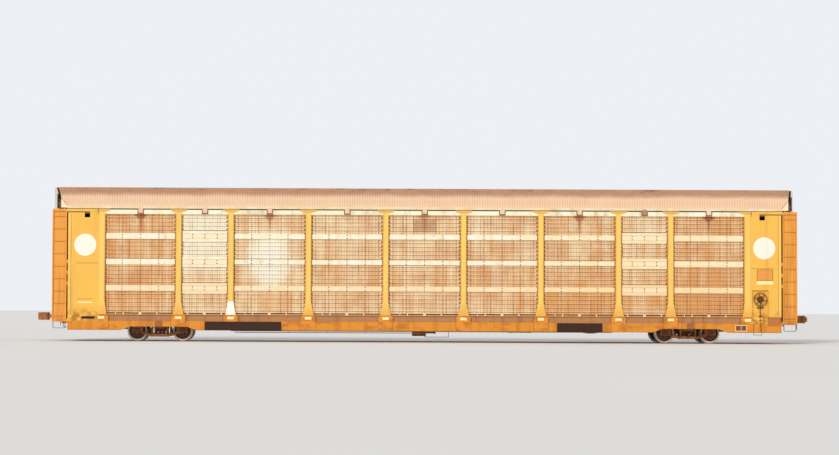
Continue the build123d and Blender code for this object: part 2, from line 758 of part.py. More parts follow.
def end_panel(braked):
    """The +x, +y corner bay's panel: a pan, fascia, cap and skirt, and the hand brake's niche."""
    face = PANEL_FACE_Y
    back = face - WEB
    through = (back - 1, face + 1)
    pan = block((PANEL_X, SILL_END_X), (BRIM_Y, face), (CURB_TOP_H, HEADER_BOTTOM_H))
    hollow_x = (PANEL_X + 40, SILL_END_X - 60)
    hollow = block(hollow_x, (BRIM_Y - 1, back), (CURB_TOP_H + 50, HEADER_BOTTOM_H - 50))
    fascia_h = (HEADER_BOTTOM_H, LADDER_TOP_H)
    fascia = block((PANEL_X + 20, SILL_END_X), (SILL_FACE_Y, face), fascia_h)
    cap_h = (LADDER_TOP_H, POST_TOP_H)
    cap = block((PANEL_X + 20, LADDER_INNER_X), (SILL_FACE_Y, SIDE_Y), cap_h)
    skirt_end = GEAR_CASE_X[0] - 10 if braked else SILL_END_X
    skirt = block((PANEL_X, skirt_end), (back, face), (SILL_TOP_H, CURB_TOP_H))
    hole_x = (END_POST_X + 530 - CABLE_HOLE / 2, END_POST_X + 530 + CABLE_HOLE / 2)
    hole_h = (HEADER_BOTTOM_H - 130, HEADER_BOTTOM_H + 45)
    holes = [block(hole_x, (BRIM_Y - 1, face + 1), hole_h)]
    if braked:
        left, right = BRAKE_WHEEL_X - NICHE_HALF, BRAKE_WHEEL_X + NICHE_HALF
        deep = face - NICHE_DEPTH
        wall = block((left - WEB, right + WEB), (deep - WEB, back), (CURB_TOP_H, NICHE_TOP_H + WEB))
        hollow = hollow.cut(wall)
        holes.append(block((left, right), (deep, face + 1), (CURB_TOP_H, NICHE_TOP_H)))
    else:
        slot_x = (PANEL_X + 120, PANEL_X + 600)
        holes.append(block(slot_x, through, (SILL_TOP_H + 76, SILL_TOP_H + 160)))
    return pan.cut(hollow).fuse(fascia, cap, skirt).cut(*holes)


def end_panels():
    """The panels of the four corner bays, with the hand brake's at +x on the near side."""
    plain = end_panel(False)
    corners = [plain, mirror(plain, Plane.YZ), other_end(plain), far_side(end_panel(True))]
    return together(corners)


def deck_plate(top):
    """A rack deck: a formed plate with wheel guides, on a cross beam at each pair of posts."""
    crown = 30
    guide = WHEEL_GUIDE_Y + 20
    under = top - DECK_PLATE
    half = [
        (0, top + crown),
        (guide - 40, top + crown),
        (guide, top),
        (BRIM_Y - 10, top),
        (BRIM_Y - 10, top + 80),
        (BRIM_Y, top + 80),
        (BRIM_Y, under),
        (guide - 6, under),
        (guide - 46, under + crown),
        (0, under + crown),
    ]
    plate = along(mirrored_outline(half), -SILL_END_X, SILL_END_X)
    beams = []
    high = top - DECK_PLATE
    low = high - DECK_BEAM_DEPTH
    for x in (*POST_X, END_POST_X, SILL_END_X - 60):
        half_width = min(POST_WIDTH / 2, SILL_END_X - x)
        beam = block((x - half_width, x + half_width), (-BRIM_Y, BRIM_Y), (low, high))
        slot_x = (x - half_width + WEB, x + half_width + 1)
        slot = block(slot_x, (-BRIM_Y - 1, BRIM_Y + 1), (low + WEB, high - WEB))
        beams += both_ends(beam.cut(slot))
    return plate.fuse(*beams)


# Roof and ends


def roof_section(inset, x0, x1):
    """The filled cross section of the roof inside an even inset, carried from x0 to x1."""
    shoulder_h = ROOF_TOP_H - SHOULDER_DROP
    skirt_y = SILL_FACE_Y - 50
    corner_h = shoulder_h - (skirt_y - SHOULDER_Y) * ROOF_SLOPE
    half = [
        (0, ROOF_TOP_H - inset),
        (SHOULDER_Y, shoulder_h - inset),
        (skirt_y - 190, corner_h + 190 * ROOF_SLOPE - inset),
        (skirt_y - 60 - inset * 0.8, corner_h - 10 - inset * 0.7),
        (skirt_y - inset, corner_h - 120),
        (SILL_FACE_Y - 22 - inset, EAVE_H + 15),
    ]
    if inset:
        half.append((SILL_FACE_Y - 22 - inset, HEADER_TOP_H - 40))
    else:
        half.append((SILL_FACE_Y, EAVE_H))
        half.append((SILL_FACE_Y, EAVE_H - 45))
        half.append((SILL_FACE_Y - 20, HEADER_TOP_H))
    return along(mirrored_outline(half), x0, x1)


def end_plan(inset):
    """The car's outline from above at an even inset: flat ends, bevelled back to each side."""
    wide = SIDE_Y + 100
    face = END_FACE_X - inset
    kink = END_FLAT_HALF - inset * math.tan(math.atan(END_SLOPE) / 2)
    side = face - (wide - kink) * END_SLOPE
    right = [(side, wide), (face, kink), (face, -kink), (side, -wide)]
    return right + [(-x, -y) for x, y in right]


def roof():
    """The roof sheet: eaves, skirts and a low crown, its ends cut to the doors' plan."""
    shell = roof_section(0, -END_FACE_X, END_FACE_X)
    shell = shell.cut(roof_section(ROOF_SHEET, -END_FACE_X - 1, END_FACE_X + 1))
    plan = upward(end_plan(DOOR_THICKNESS + DOOR_ROOF_GAP), HEADER_TOP_H - 60, ROOF_TOP_H + 10)
    return together(shell.intersect(plan))


def roof_bows():
    """The bows inside the roof at each pair of posts, and one at each end."""
    bows = []
    for x in (*POST_X, END_POST_X, HINGE_X - 230):
        bow = roof_section(ROOF_SHEET, x - 30, x + 30)
        hole = roof_section(ROOF_SHEET + BOW_DEPTH, x - 31, x + 31)
        below = block((x - 32, x + 32), (-SIDE_Y, SIDE_Y), (HEADER_TOP_H - 60, HEADER_TOP_H))
        bows += both_ends(bow.cut(hole, below))
    return together(bows)


def corner_posts():
    """At each corner, the post that carries a door's hinges, and its hinge lugs."""
    x0, x1 = HINGE_X - 200, HINGE_X - 30
    lower = block((x0, x1), (HINGE_Y, SIDE_Y - LADDER_DEPTH), (PLATFORM_H, HEADER_TOP_H))
    upper = block((x0, x1), (HINGE_Y, HINGE_Y + 40), (HEADER_TOP_H, CORNER_POST_TOP_H))
    pieces = [lower, upper]
    for low in HINGE_LUG_H:
        high = low + KNUCKLE_LENGTH
        pieces.append(block((x1, HINGE_X), (HINGE_Y - 6, HINGE_Y + 6), (low, high)))
        pieces.append(rod((HINGE_X, HINGE_Y, low), (HINGE_X, HINGE_Y, high), HINGE_RADIUS))
    return fused(pieces)


def corner_ladder():
    """A corner's upright panel: a back plate, two stiles, rungs, a capping and tie lugs."""
    x0, x1 = LADDER_INNER_X, BODY_HALF_LENGTH
    back = SIDE_Y - LADDER_DEPTH
    heights = (PLATFORM_H, LADDER_TOP_H)
    pieces = [
        block((x0, x1), (back, back + 6), heights),
        block((x0, x0 + STILE_WIDTH), (back, SIDE_Y), heights),
        block((x1 - STILE_WIDTH, x1), (back, SIDE_Y), heights),
        block((x0, x1), (back, SILL_FACE_Y), (LADDER_TOP_H, HEADER_TOP_H)),
        block((x0, x1), (SILL_FACE_Y, SIDE_Y), (LADDER_TOP_H, POST_TOP_H)),
    ]
    for step in range(RUNG_COUNT):
        h = FIRST_RUNG_H + step * RUNG_PITCH
        pieces.append(along(hexagon(SIDE_Y - 20, h, RUNG_RADIUS), x0 + 30, x1 - 30))
    for h in TIE_LUG_H:
        pieces.append(block((SILL_END_X, x0), (back + 2, back + 30), (h - 65, h + 65)))
    return fused(pieces)


def outward(run):
    """The level direction square to a door leaf's run that points out of the car's +x end."""
    out = Vector(-run.Y, run.X, 0)
    return out if out.X > 0 else out * -1


def plan_strip(start, end, near, far, h0, h1):
    """An upright strip along a line in plan, from one distance outside that line to another."""
    a, b = Vector(*start, 0), Vector(*end, 0)
    out = outward((b - a).normalized())
    corners = [a + out * near, b + out * near, b + out * far, a + out * far]
    return upward([(p.X, p.Y) for p in corners], h0, h1)


def door_panel(start, end, low):
    """A door leaf between two points of its inner face in plan, cut to the roof's section."""
    leaf = plan_strip(start, end, 0, DOOR_THICKNESS, low, ROOF_TOP_H + 20)
    section = roof_section(DOOR_HEAD_GAP, END_BEVEL_X - 200, END_FACE_X + 50)
    ends = (END_BEVEL_X - 200, END_FACE_X + 50)
    under = block(ends, (-SIDE_Y, SIDE_Y), (low - 1, EAVE_H + 40))
    return together(leaf.intersect(section.fuse(under)))


def door_ribs(start, end):
    """Level hat-shaped ribs on a leaf's outer face, evenly spaced up to the eave."""
    first = INNER_LEAF_BOTTOM_H + 60
    pitch = (EAVE_H - RIB_HEIGHT - first) / (RIB_COUNT - 1)
    ribs = []
    for rib in range(RIB_COUNT):
        low = first + rib * pitch
        a, b = Vector(*start, 0), Vector(*end, 0)
        out = outward((b - a).normalized())
        inner, outer = DOOR_THICKNESS - 2, DOOR_THICKNESS + RIB_DEPTH
        section = [
            (a + out * inner, low),
            (a + out * outer, low + RIB_DEPTH),
            (a + out * outer, low + RIB_HEIGHT - RIB_DEPTH),
            (a + out * inner, low + RIB_HEIGHT),
        ]
        face = outline_face([(p.X, p.Y, up(h)) for p, h in section])
        ribs.append(Solid.extrude(face, b - a))
    return ribs


def door_leaves():
    """The outer and the inner leaf of the +x, +y door, in that order."""
    inset = DOOR_THICKNESS
    hinge = (HINGE_X, HINGE_Y)
    joint = (END_FACE_X - inset, END_FLAT_HALF - inset * math.tan(math.atan(END_SLOPE) / 2))
    run = Vector(joint[0] - hinge[0], joint[1] - hinge[1], 0).normalized()
    gap = HINGE_RADIUS + DOOR_EDGE_GAP

    def on_outer(distance, origin=hinge):
        return origin[0] + run.X * distance, origin[1] + run.Y * distance

    outer = door_panel(on_outer(gap), on_outer(-gap, joint), DOOR_BOTTOM_H)
    inner = door_panel((joint[0], joint[1] - gap), (joint[0], DOOR_EDGE_GAP), INNER_LEAF_BOTTOM_H)
    outer_pieces = door_ribs(on_outer(80), on_outer(-60, joint))
    inner_pieces = door_ribs((joint[0], joint[1] - 60), (joint[0], LOCK_BAR_Y + 60))
    for low in HINGE_LUG_H:
        middle = low + KNUCKLE_LENGTH
        high = middle + KNUCKLE_LENGTH
        above = middle + PIN_CLEARANCE
        outer_pieces += hinge_half(hinge, run, above, high)
        outer_pieces += hinge_half(joint, run * -1, low, middle)
        inner_pieces += hinge_half(joint, Vector(0, -1, 0), above, high)
    bar_x = END_FACE_X + LOCK_BAR_STANDOFF
    bar_low, bar_high = INNER_LEAF_BOTTOM_H + 10, ROOF_TOP_H - 90
    bar_ends = [(bar_x, LOCK_BAR_Y, h) for h in (bar_low, bar_high)]
    inner_pieces.append(rod(*bar_ends, LOCK_BAR_RADIUS))
    keeper_y = (LOCK_BAR_Y - 30, LOCK_BAR_Y + 30)
    for keeper in range(LOCK_BAR_KEEPERS):
        h = bar_low + 170 + keeper * (bar_high - bar_low - 380) / (LOCK_BAR_KEEPERS - 1)
        inner_pieces.append(block((END_FACE_X - 5, bar_x), keeper_y, (h, h + 60)))
    return outer.fuse(*outer_pieces), inner.fuse(*inner_pieces)


def hinge_half(origin, run, low, high):
    """A hinge's knuckle round an upright axis, and its strap along the leaf's run."""
    a = Vector(*origin, 0)
    b = a + run * (HINGE_RADIUS + DOOR_EDGE_GAP + 20)
    knuckle_bar = rod((*origin, low), (*origin, high), HINGE_RADIUS)
    return [knuckle_bar, plan_strip((a.X, a.Y), (b.X, b.Y), 0, 10, low, high)]


# Couplers


def coupler():
    """The +x coupler: its shank, and its head with the guard arm and the knuckle's two lugs."""
    face = PULLING_FACE_X
    low, high = COUPLER_H - SHANK_HEIGHT / 2, COUPLER_H + SHANK_HEIGHT / 2
    pin_x = COUPLER_PIN_X
    shank = block((pin_x, face - 300), (-SHANK_WIDTH / 2, SHANK_WIDTH / 2), (low, high))
    butt = rod((pin_x, 0, low), (pin_x, 0, high), SHANK_WIDTH / 2)
    hole_radius = COUPLER_PIN_RADIUS + PIN_CLEARANCE
    hole = rod((pin_x, 0, low - 35), (pin_x, 0, high + 35), hole_radius)
    guard_arm = [
        (-340, -75),
        (-340, 75),
        (-290, 150),
        (-60, 190),
        (60, 175),
        (60, 150),
        (-110, 90),
        (-162, 0),
        (-152, -160),
        (-290, -130),
    ]
    bottom, top = COUPLER_H - HEAD_HALF_HEIGHT, COUPLER_H + HEAD_HALF_HEIGHT
    head = upward([(face + u, v) for u, v in guard_arm], bottom, top, HEAD_ROUND)
    ear = [
        (-160, -60),
        (-40, -60),
        (-20, -110),
        (-60, -165),
        (-160, -165),
    ]
    lug = [(face + u, v) for u, v in ear]
    lug_heights = ((top - LUG_THICKNESS, top), (bottom, bottom + LUG_THICKNESS))
    lugs = [upward(lug, *heights) for heights in lug_heights]
    pin_place = (face - KNUCKLE_PIN_BACK, KNUCKLE_PIN_Y)
    pin = rod((*pin_place, bottom - 10), (*pin_place, top + 10), KNUCKLE_PIN_RADIUS)
    return fused([shank, butt, head, *lugs]).cut(hole).fuse(pin)


def knuckle():
    """The +x coupler's hooked knuckle, on the pin between the head's lugs."""
    face = PULLING_FACE_X
    hook = [
        (-122, -70),
        (-122, -150),
        (-60, -172),
        (20, -165),
        (66, -120),
        (66, -20),
        (50, 20),
        (10, 30),
        (-10, 10),
        (-5, -60),
        (-50, -66),
    ]
    low, high = COUPLER_H - KNUCKLE_HALF_HEIGHT, COUPLER_H + KNUCKLE_HALF_HEIGHT
    plan = upward([(face + u, v) for u, v in hook], low, high, HEAD_ROUND)
    pin_place = (face - KNUCKLE_PIN_BACK, KNUCKLE_PIN_Y)
    hole_radius = KNUCKLE_PIN_RADIUS + PIN_CLEARANCE
    return plan.cut(rod((*pin_place, low - 10), (*pin_place, high + 10), hole_radius))


# Brake gear and fittings


def air_reservoir():
    """The air tank with its rounded ends under the floor, and the bands that hang it."""
    y, h = RESERVOIR_Y, FLOOR_UNDER_H - 245
    x0, x1 = RESERVOIR_X - RESERVOIR_HALF_LENGTH, RESERVOIR_X + RESERVOIR_HALF_LENGTH
    pieces = [rounded_rod((x0, y, h), (x1, y, h), RESERVOIR_RADIUS, 70)]
    band = RESERVOIR_RADIUS + 6
    for x in (x0 + 170, x1 - 170):
        pieces.append(block((x - 25, x + 25), (y - band, y + band), (h, FLOOR_UNDER_H)))
        pieces.append(rod((x - 25, y, h), (x + 25, y, h), band))
    return fused(pieces)


def brake_cylinder():
    """The brake cylinder with its piston rod and lever, and the strap that guards the lever."""
    y, h = CYLINDER_Y, SILL_BOTTOM_H - 56
    body = rounded_rod((-420, y, h), (60, y, h), CYLINDER_RADIUS, 30)
    head = rod((50, y, h), (90, y, h), CYLINDER_RADIUS + 25)
    hanger = block((-300, -60), (y - 60, y + 60), (h, FLOOR_UNDER_H))
    push = rod((90, y, h), (420, y, h), 22)
    lever = block((405, 435), (ROD_Y - 30, y + 90), (h - 45, h + 45))
    guard_y = (ROD_Y - 60, ROD_Y - 20)
    outer = block((60, 920), guard_y, (SILL_BOTTOM_H - 220, FLOOR_UNDER_H))
    inside_h = (SILL_BOTTOM_H - 204, FLOOR_UNDER_H + 1)
    inner = block((76, 904), (guard_y[0] - 1, guard_y[1] + 1), inside_h)
    return together([fused([body, head, hanger, push, lever]), outer.cut(inner)])


def control_valve():
    """The control valve on its pipe bracket, hung from the floor."""
    x, y, h = VALVE_X, -BRIM_Y + 387, SILL_BOTTOM_H + 44
    bracket = block((x - 190, x + 190), (y - 125, y + 125), (h + 130, FLOOR_UNDER_H))
    service = rounded_rod((x - 270, y, h), (x + 270, y, h), 85, 20)
    body = block((x - 140, x + 140), (y - 95, y + 95), (h - 100, h + 130))
    return fused([bracket, service, body])


def hangers(places, y, half_width, low):
    """Flat bars from the floor down to a rod or a pipe."""
    width = (y - half_width, y + half_width)
    return [block((x - 12, x + 12), width, (low, FLOOR_UNDER_H)) for x in places]


def brake_rods():
    """The long brake rod and the train pipe under the floor, with their hangers."""
    reach = POST_X[2] - 120
    between = [(a + b) / 2 for a, b in zip(BEARER_X, BEARER_X[1:])]
    brake_rod = rod((-reach, ROD_Y, ROD_H), (405, ROD_Y, ROD_H), 14)
    held = hangers([-x for x in between[:3]], ROD_Y, 20, ROD_H - 20)
    pipe_ends = [(end * (POST_X[2] + 80), PIPE_Y, PIPE_H) for end in (-1, 1)]
    pipe = rod(*pipe_ends, PIPE_RADIUS)
    clip_x = [end * x for x in (POST_X[0] / 2, *between[1::2]) for end in (-1, 1)]
    clipped = hangers(clip_x, PIPE_Y, 30, PIPE_H - 30)
    return together([fused([brake_rod, *held]), fused([pipe, *clipped])])


def hand_brake():
    """The near side's hand brake: a spoked wheel on its housing, its staff, and its gear case."""
    x, h = BRAKE_WHEEL_X, BRAKE_WHEEL_H
    front = -SIDE_Y + 4
    niche_back = -PANEL_FACE_Y + NICHE_DEPTH
    rim = rod((x, front, h), (x, front + 24, h), BRAKE_WHEEL_RADIUS)
    rim = rim.cut(rod((x, front - 1, h), (x, front + 25, h), BRAKE_WHEEL_RADIUS - 26))
    spoke_length = BRAKE_WHEEL_RADIUS - 20
    spokes = []
    for turn in range(BRAKE_SPOKES):
        spoke = Pos(spoke_length / 2, 0, 0) * Box(spoke_length, 14, 26)
        spokes.append(Pos(x, front + 12, up(h)) * Rot(0, 360 * turn / BRAKE_SPOKES + 15, 0) * spoke)
    hub = rod((x, front, h), (x, niche_back, h), 45)
    housing = rod((x, front + 34, h), (x, niche_back, h), 120)
    staff = rod((x, niche_back - 20, CURB_TOP_H), (x, niche_back - 20, h), 14)
    bracket = block((x - 120, x + 120), (niche_back - 44, niche_back), (h - 330, h - 290))
    foot = block((x - 50, x + 50), (niche_back - 44, niche_back), (CURB_TOP_H, CURB_TOP_H + 60))
    case_back = -SILL_FACE_Y + CURB_RECESS
    case = block(GEAR_CASE_X, (front, case_back), (SILL_TOP_H, CURB_TOP_H - 25))
    plate_h = (SILL_TOP_H - 84, SILL_TOP_H + 60)
    plate = block(GEAR_CASE_X, (-SIDE_Y, -SILL_FACE_Y), plate_h)
    wheel = fused([rim, *spokes, hub, housing, staff, bracket, foot])
    return together([wheel, case.fuse(plate)])


def side_step():
    """The step on the near side sill below the hand brake: two uprights and a tread."""
    x0, x1 = SIDE_STEP_X
    bar = 14
    bottom = SILL_BOTTOM_H - 86
    frame = block((x0, x1), (-SIDE_Y, -SILL_FACE_Y), (bottom, SILL_TOP_H))
    between = (x0 + bar, x1 - bar)
    opening = block(between, (-SIDE_Y - 1, -SILL_FACE_Y + 1), (bottom + bar, SILL_TOP_H + 1))
    tread = block((x0, x1), (-SIDE_Y, -SILL_FACE_Y + 60), (bottom, bottom + bar))
    return frame.cut(opening).fuse(tread)


def uncoupling_lever():
    """The +x end's lever: a bent rod along the platform's edge to beside the coupler."""
    x, h = BODY_HALF_LENGTH + 30, PLATFORM_H - 60
    y_out, y_in = -SIDE_Y + 274, -470
    radius = 12
    bar = rod((x, y_out, h), (x, y_in, h), radius)
    handle = rod((x, y_out, h), (x, y_out, h - 220), radius)
    toe = rod((x, y_in, h), (x + 120, y_in + 60, h), radius)
    elbows = [Pos(x, y, up(h)) * Sphere(radius) for y in (y_out, y_in)]
    brackets = []
    for y in (y_out + 150, y_in - 150):
        bracket_x = (BODY_HALF_LENGTH, x + 16)
        brackets.append(block(bracket_x, (y - 15, y + 15), (h - 22, h + 22)))
    return fused([bar, handle, toe, *elbows, *brackets])


def build():
    """Every node of the car by name."""
    parts = {
        "centre_sill": centre_sill(),
        "draft_gears": draft_gears(),
        "side_sills": together(both_sides(side_sill())),
        "deck_curbs": together(both_sides(deck_curb())),
        "cross_bearers": cross_bearers(),
        "body_bolsters": body_bolsters(),
        "deck_lower": deck_lower(),
        "deck_middle": deck_plate(MIDDLE_DECK_H),
        "deck_upper": deck_plate(UPPER_DECK_H),
        "end_sills": end_sills(),
        "corner_steps": corner_steps(),
        "end_panels": end_panels(),
        "top_rails": top_rails(),
        "roof": roof(),
        "roof_bows": roof_bows(),
        "corner_posts": together(four_corners(corner_posts())),
        "corner_ladders": together(four_corners(corner_ladder())),
        "air_reservoir": air_reservoir(),
        "brake_cylinder": brake_cylinder(),
        "control_valve": control_valve(),
        "brake_rods": brake_rods(),
        "hand_brake": hand_brake(),
        "side_step": side_step(),
        "uncoupling_levers": together([uncoupling_lever(), other_end(uncoupling_lever())]),
    }
    posts, sheets = side_posts(), screens()
    parts["side_posts_far"], parts["side_posts_near"] = posts, far_side(posts)
    parts["screens_far"], parts["screens_near"] = sheets, far_side(sheets)
    for letter, x in (("a", -TRUCK_X), ("b", TRUCK_X)):
        for name, piece in truck_pieces(x).items():
            key = f"{name}_{letter}" if name.startswith("wheelset") else f"truck_{letter}_{name}"
            parts[key] = piece
    outer, inner = door_leaves()
    for name, leaf in (("outer", outer), ("inner", inner)):
        parts[f"door_b_far_{name}"] = leaf
        parts[f"door_b_near_{name}"] = far_side(leaf)
        parts[f"door_a_near_{name}"] = other_end(leaf)
        parts[f"door_a_far_{name}"] = other_end(far_side(leaf))
    parts["coupler_b"], parts["coupler_a"] = coupler(), other_end(coupler())
    parts["knuckle_b"], parts["knuckle_a"] = knuckle(), other_end(knuckle())
    return parts


os.makedirs("parts", exist_ok=True)
for node, shape in build().items():
    export_step(shape, f"parts/{node}.step")
    box = shape.bounding_box()
    lowest = [round(value) for value in (box.min.X, box.min.Y, box.min.Z)]
    highest = [round(value) for value in (box.max.X, box.max.Y, box.max.Z)]
    print(node, len(shape.solids()), lowest, highest)
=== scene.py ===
"""The looks of an enclosed three-deck autorack car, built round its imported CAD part."""

import math
from functools import partial, reduce

import bmesh
import bpy
import numpy as np
from bpy.props import FloatProperty, FloatVectorProperty, PointerProperty
from mathutils import Matrix


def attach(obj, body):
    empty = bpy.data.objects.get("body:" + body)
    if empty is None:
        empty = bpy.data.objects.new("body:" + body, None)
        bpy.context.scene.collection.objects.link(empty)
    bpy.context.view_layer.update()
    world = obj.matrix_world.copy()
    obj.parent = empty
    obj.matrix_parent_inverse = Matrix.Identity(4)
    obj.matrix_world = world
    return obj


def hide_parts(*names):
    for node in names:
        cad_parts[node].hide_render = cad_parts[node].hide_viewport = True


bl_info = {
    "name": "Autorack Car",
    "version": (1, 0, 0),
    "blender": (4, 5, 0),
    "location": "3D View > Sidebar > Autorack",
    "description": "Builds the screens, roof, fittings and finishes of an autorack car",
    "category": "Object",
}

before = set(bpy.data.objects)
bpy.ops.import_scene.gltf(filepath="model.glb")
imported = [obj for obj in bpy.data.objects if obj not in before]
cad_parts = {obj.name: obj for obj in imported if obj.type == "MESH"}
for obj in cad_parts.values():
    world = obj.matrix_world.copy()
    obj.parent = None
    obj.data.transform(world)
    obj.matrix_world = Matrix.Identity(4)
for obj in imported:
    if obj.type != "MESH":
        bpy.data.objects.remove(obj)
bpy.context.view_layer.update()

# Metres. _H is a height above the rail head, which lies RAIL above the floor that the flanges touch.
# _Y is how far out a face lies, on either side.
RAIL = 0.025
SIDES = ((-1, "near"), (1, "far"))
ENDS = (("a", -1), ("b", 1))
SIDE_Y = 1.524
POST_FACE_Y = 1.518
PANEL_FACE_Y = 1.516
PLATE_FACE_Y = 1.512
BRIM_Y = 1.412
SCREEN_VALLEY_Y = 1.43
JOURNAL_Y = 0.978
POST_X = (1.43, 4.27, 7.12, 9.04)
END_POST_X = 11.87
POST_WIDTH = 0.19
END_POST_WIDTH = 0.24
PANEL_X = END_POST_X + END_POST_WIDTH / 2
END_FACE_X = 13.72
TRUCK_X = 9.7535
AXLE_X = 0.838
WHEEL_RADIUS = 0.3555
TRUCK_PARTS = ("side_frames", "bearings", "bolster", "brake_beams")
CURB_TOP_H = 0.955
SCREEN_LOW_H, SCREEN_TOP_H = 1.03, 4.65
BANDS_H = (3.84, 2.9, 1.93)
CAP_BOLT_RING, CAP_FACE_Y = 0.052, JOURNAL_Y + 0.123
SPRING_SPACING = 0.138
SPRING_LOW_H, SPRING_TOP_H = 0.24, 0.44

# Posts: the brim and flank beside each, and a plate from the foot up, as rows of height and of half
# width where it is wider than the post. Over the trucks the foot ends at the sill's raised edge.
POST_BRIM = 0.045
FLANK = 0.022
PLATE_ROWS = ((0.406, 0.28), (0.895, 0.28), (CURB_TOP_H, 0.2), (1.47, 0.0),
              (4.712, 0.0), (4.735, 0.17), (4.775, 0.3), (4.832, 0.315))
RAISED_FOOT_H = 0.54

# Bays from -x to +x, as x ranges. Tones and rust are counted from left to right on each side.
STATIONS = sorted(side * x for x in POST_X for side in (-1, 1))
BAY_CLEARANCE = 0.012
BAY_END_X = END_POST_X - END_POST_WIDTH / 2 - BAY_CLEARANCE
BAY_GAP = POST_WIDTH / 2 + BAY_CLEARANCE
BAYS = list(zip([-BAY_END_X] + [x + BAY_GAP for x in STATIONS],
                [x - BAY_GAP for x in STATIONS] + [BAY_END_X]))
SHORT_BAY = 2.2
PALE_BAY, GLARE_BAY = 1, 2
BAY_TONE = (0.68, 0.06, 0.46, 0.42, 0.44, 0.42, 0.47, 0.34, 0.62)
BAY_RUST = (1.0, 0.1, 0.75, 0.2, 0.6, 0.1, 0.85, 0.0, 1.0)

# Where a corrugation has points, as parts of its pitch, and how far in from a sheet's end it has them.
WAVE_KNOTS = (0.0, 0.21, 0.35, 0.42, 0.58, 0.65, 0.79)
SHEET_EDGES = (0, 0.012, 0.03, 0.05, 0.058)

# A short bay's band is three strips: each one's shift up, half height and face.
BAND_BACK_Y, BAND_FACE_Y = 1.452, 1.4715
SHORT_BAND_ROWS = ((0.0, 0.188, 1.4665), (0.142, 0.045, BAND_FACE_Y), (-0.142, 0.045, BAND_FACE_Y))

# Fittings of each bay: finish, how far out, heights, and each one's x range from the bay's middle.
BAY_FITTINGS = {
    "bay_clamps": ("clamp steel", (1.5, 1.519), (4.655, 4.855), ((-0.12, 0.12),)),
    "bay_clamp_straps": ("clamp strap", (1.5, 1.522), (4.7, 4.895), ((-0.085, 0.085),)),
    "bay_tabs": ("band zinc", (1.44, 1.478), (0.955, 1.035),
                 ((-0.05, 0.05), (-0.64, -0.6), (0.6, 0.64), (-0.914, -0.886))),
}

# The roof's end is cut back by this slope from its flat middle out, and its corrugation ends in a mitre.
END_SLOPE, END_FLAT_Y = 0.2803, 0.62
MITRE_X, MITRE_LOW_H = 13.14, 4.95

# Eaves: finish, how far they reach to each end, how far out, and heights.
EAVES = {
    "eave_strips": ("eave zinc", 13.14, (1.465, 1.5135), (4.85, 4.942)),
    # A dark box of painted shade in the gap between the header and the eave.
    "eave_gaps": ("dark gap", 13.1, (1.455, 1.498), (4.812, 4.862)),
}

# Blank discs on the end panels: (distance out, radius) pairs of the profile, and each one's x and height.
DISC_PROFILE = ((-0.002, 0.0), (-0.002, 0.4), (0.002, 0.405), (0.0034, 0.4), (0.0034, 0.0))
DISC_PLACES = ((-12.47, 3.51), (12.47, 3.49))

# Where the dark boxes of painted shade in the end panels' slots start, and on which side.
SLOT_PLACES = ((-12.6, -1), (-12.6, 1), (12.1, 1))

# Labels on the end panels: finish, how proud, and strips, as x from left to right and heights.
LABELS = {
    "label_places": ("cream plate", 0.003, ((-12.74, -12.19, 1.375, 1.42), (12.2, 12.79, 2.165, 2.285))),
    "label_frames": ("trim brown", 0.003, (
        (-12.74, -12.19, 1.515, 1.53), (12.2, 12.79, 2.69, 2.712), (12.2, 12.79, 2.308, 2.33),
        (12.198, 12.22, 2.3, 2.71), (12.77, 12.792, 2.3, 2.71))),
    "label_boards": ("orange plate", 0.0015, ((12.22, 12.77, 2.33, 2.69),)),
}

# Finishes of the CAD pieces that are shown as they are, apart from trucks, couplers and doors.
NODE_FINISHES = {
    "brown paint": ("centre_sill", "cross_bearers", "body_bolsters", "corner_posts", "air_reservoir"),
    "cast steel": ("draft_gears", "brake_cylinder", "control_valve"),
    "deck steel": ("deck_lower", "deck_middle", "deck_upper"),
    "brake brown": ("corner_steps", "hand_brake", "side_step", "uncoupling_levers"),
    "sill paint": ("side_sills",),
    "platform paint": ("end_sills",),
    "curb brown": ("deck_curbs",),
    "header zinc": ("top_rails",),
    "bow zinc": ("roof_bows",),
    "step zinc": ("brake_rods",),
    "ladder paint": ("corner_ladders",),
}

# Camera: the photograph's size, scale in metres for each pixel of the near side, focal length, main
# column, horizon row and roll, in pixels, and the height of the eye.
PHOTO_SIZE = (839, 455)
PHOTO_SCALE = 0.03672
PHOTO_FOCAL = 2042.0
PHOTO_COLUMN = 326.0
PHOTO_MIDDLE = 424.85
PHOTO_HORIZON = 303.3
PHOTO_ROLL = 0.00465
EYE_H = 1.4
SENSOR_WIDTH = 36.0
FLOOR_REACH = 260.0


def axles(end):
    """The place and x of each of the two wheelsets of the truck at an end."""
    return [(place, end * (TRUCK_X + out * AXLE_X)) for place, out in (("inner", -1), ("outer", 1))]


COLOUR = dict(subtype="COLOR", size=3, min=0, max=1)


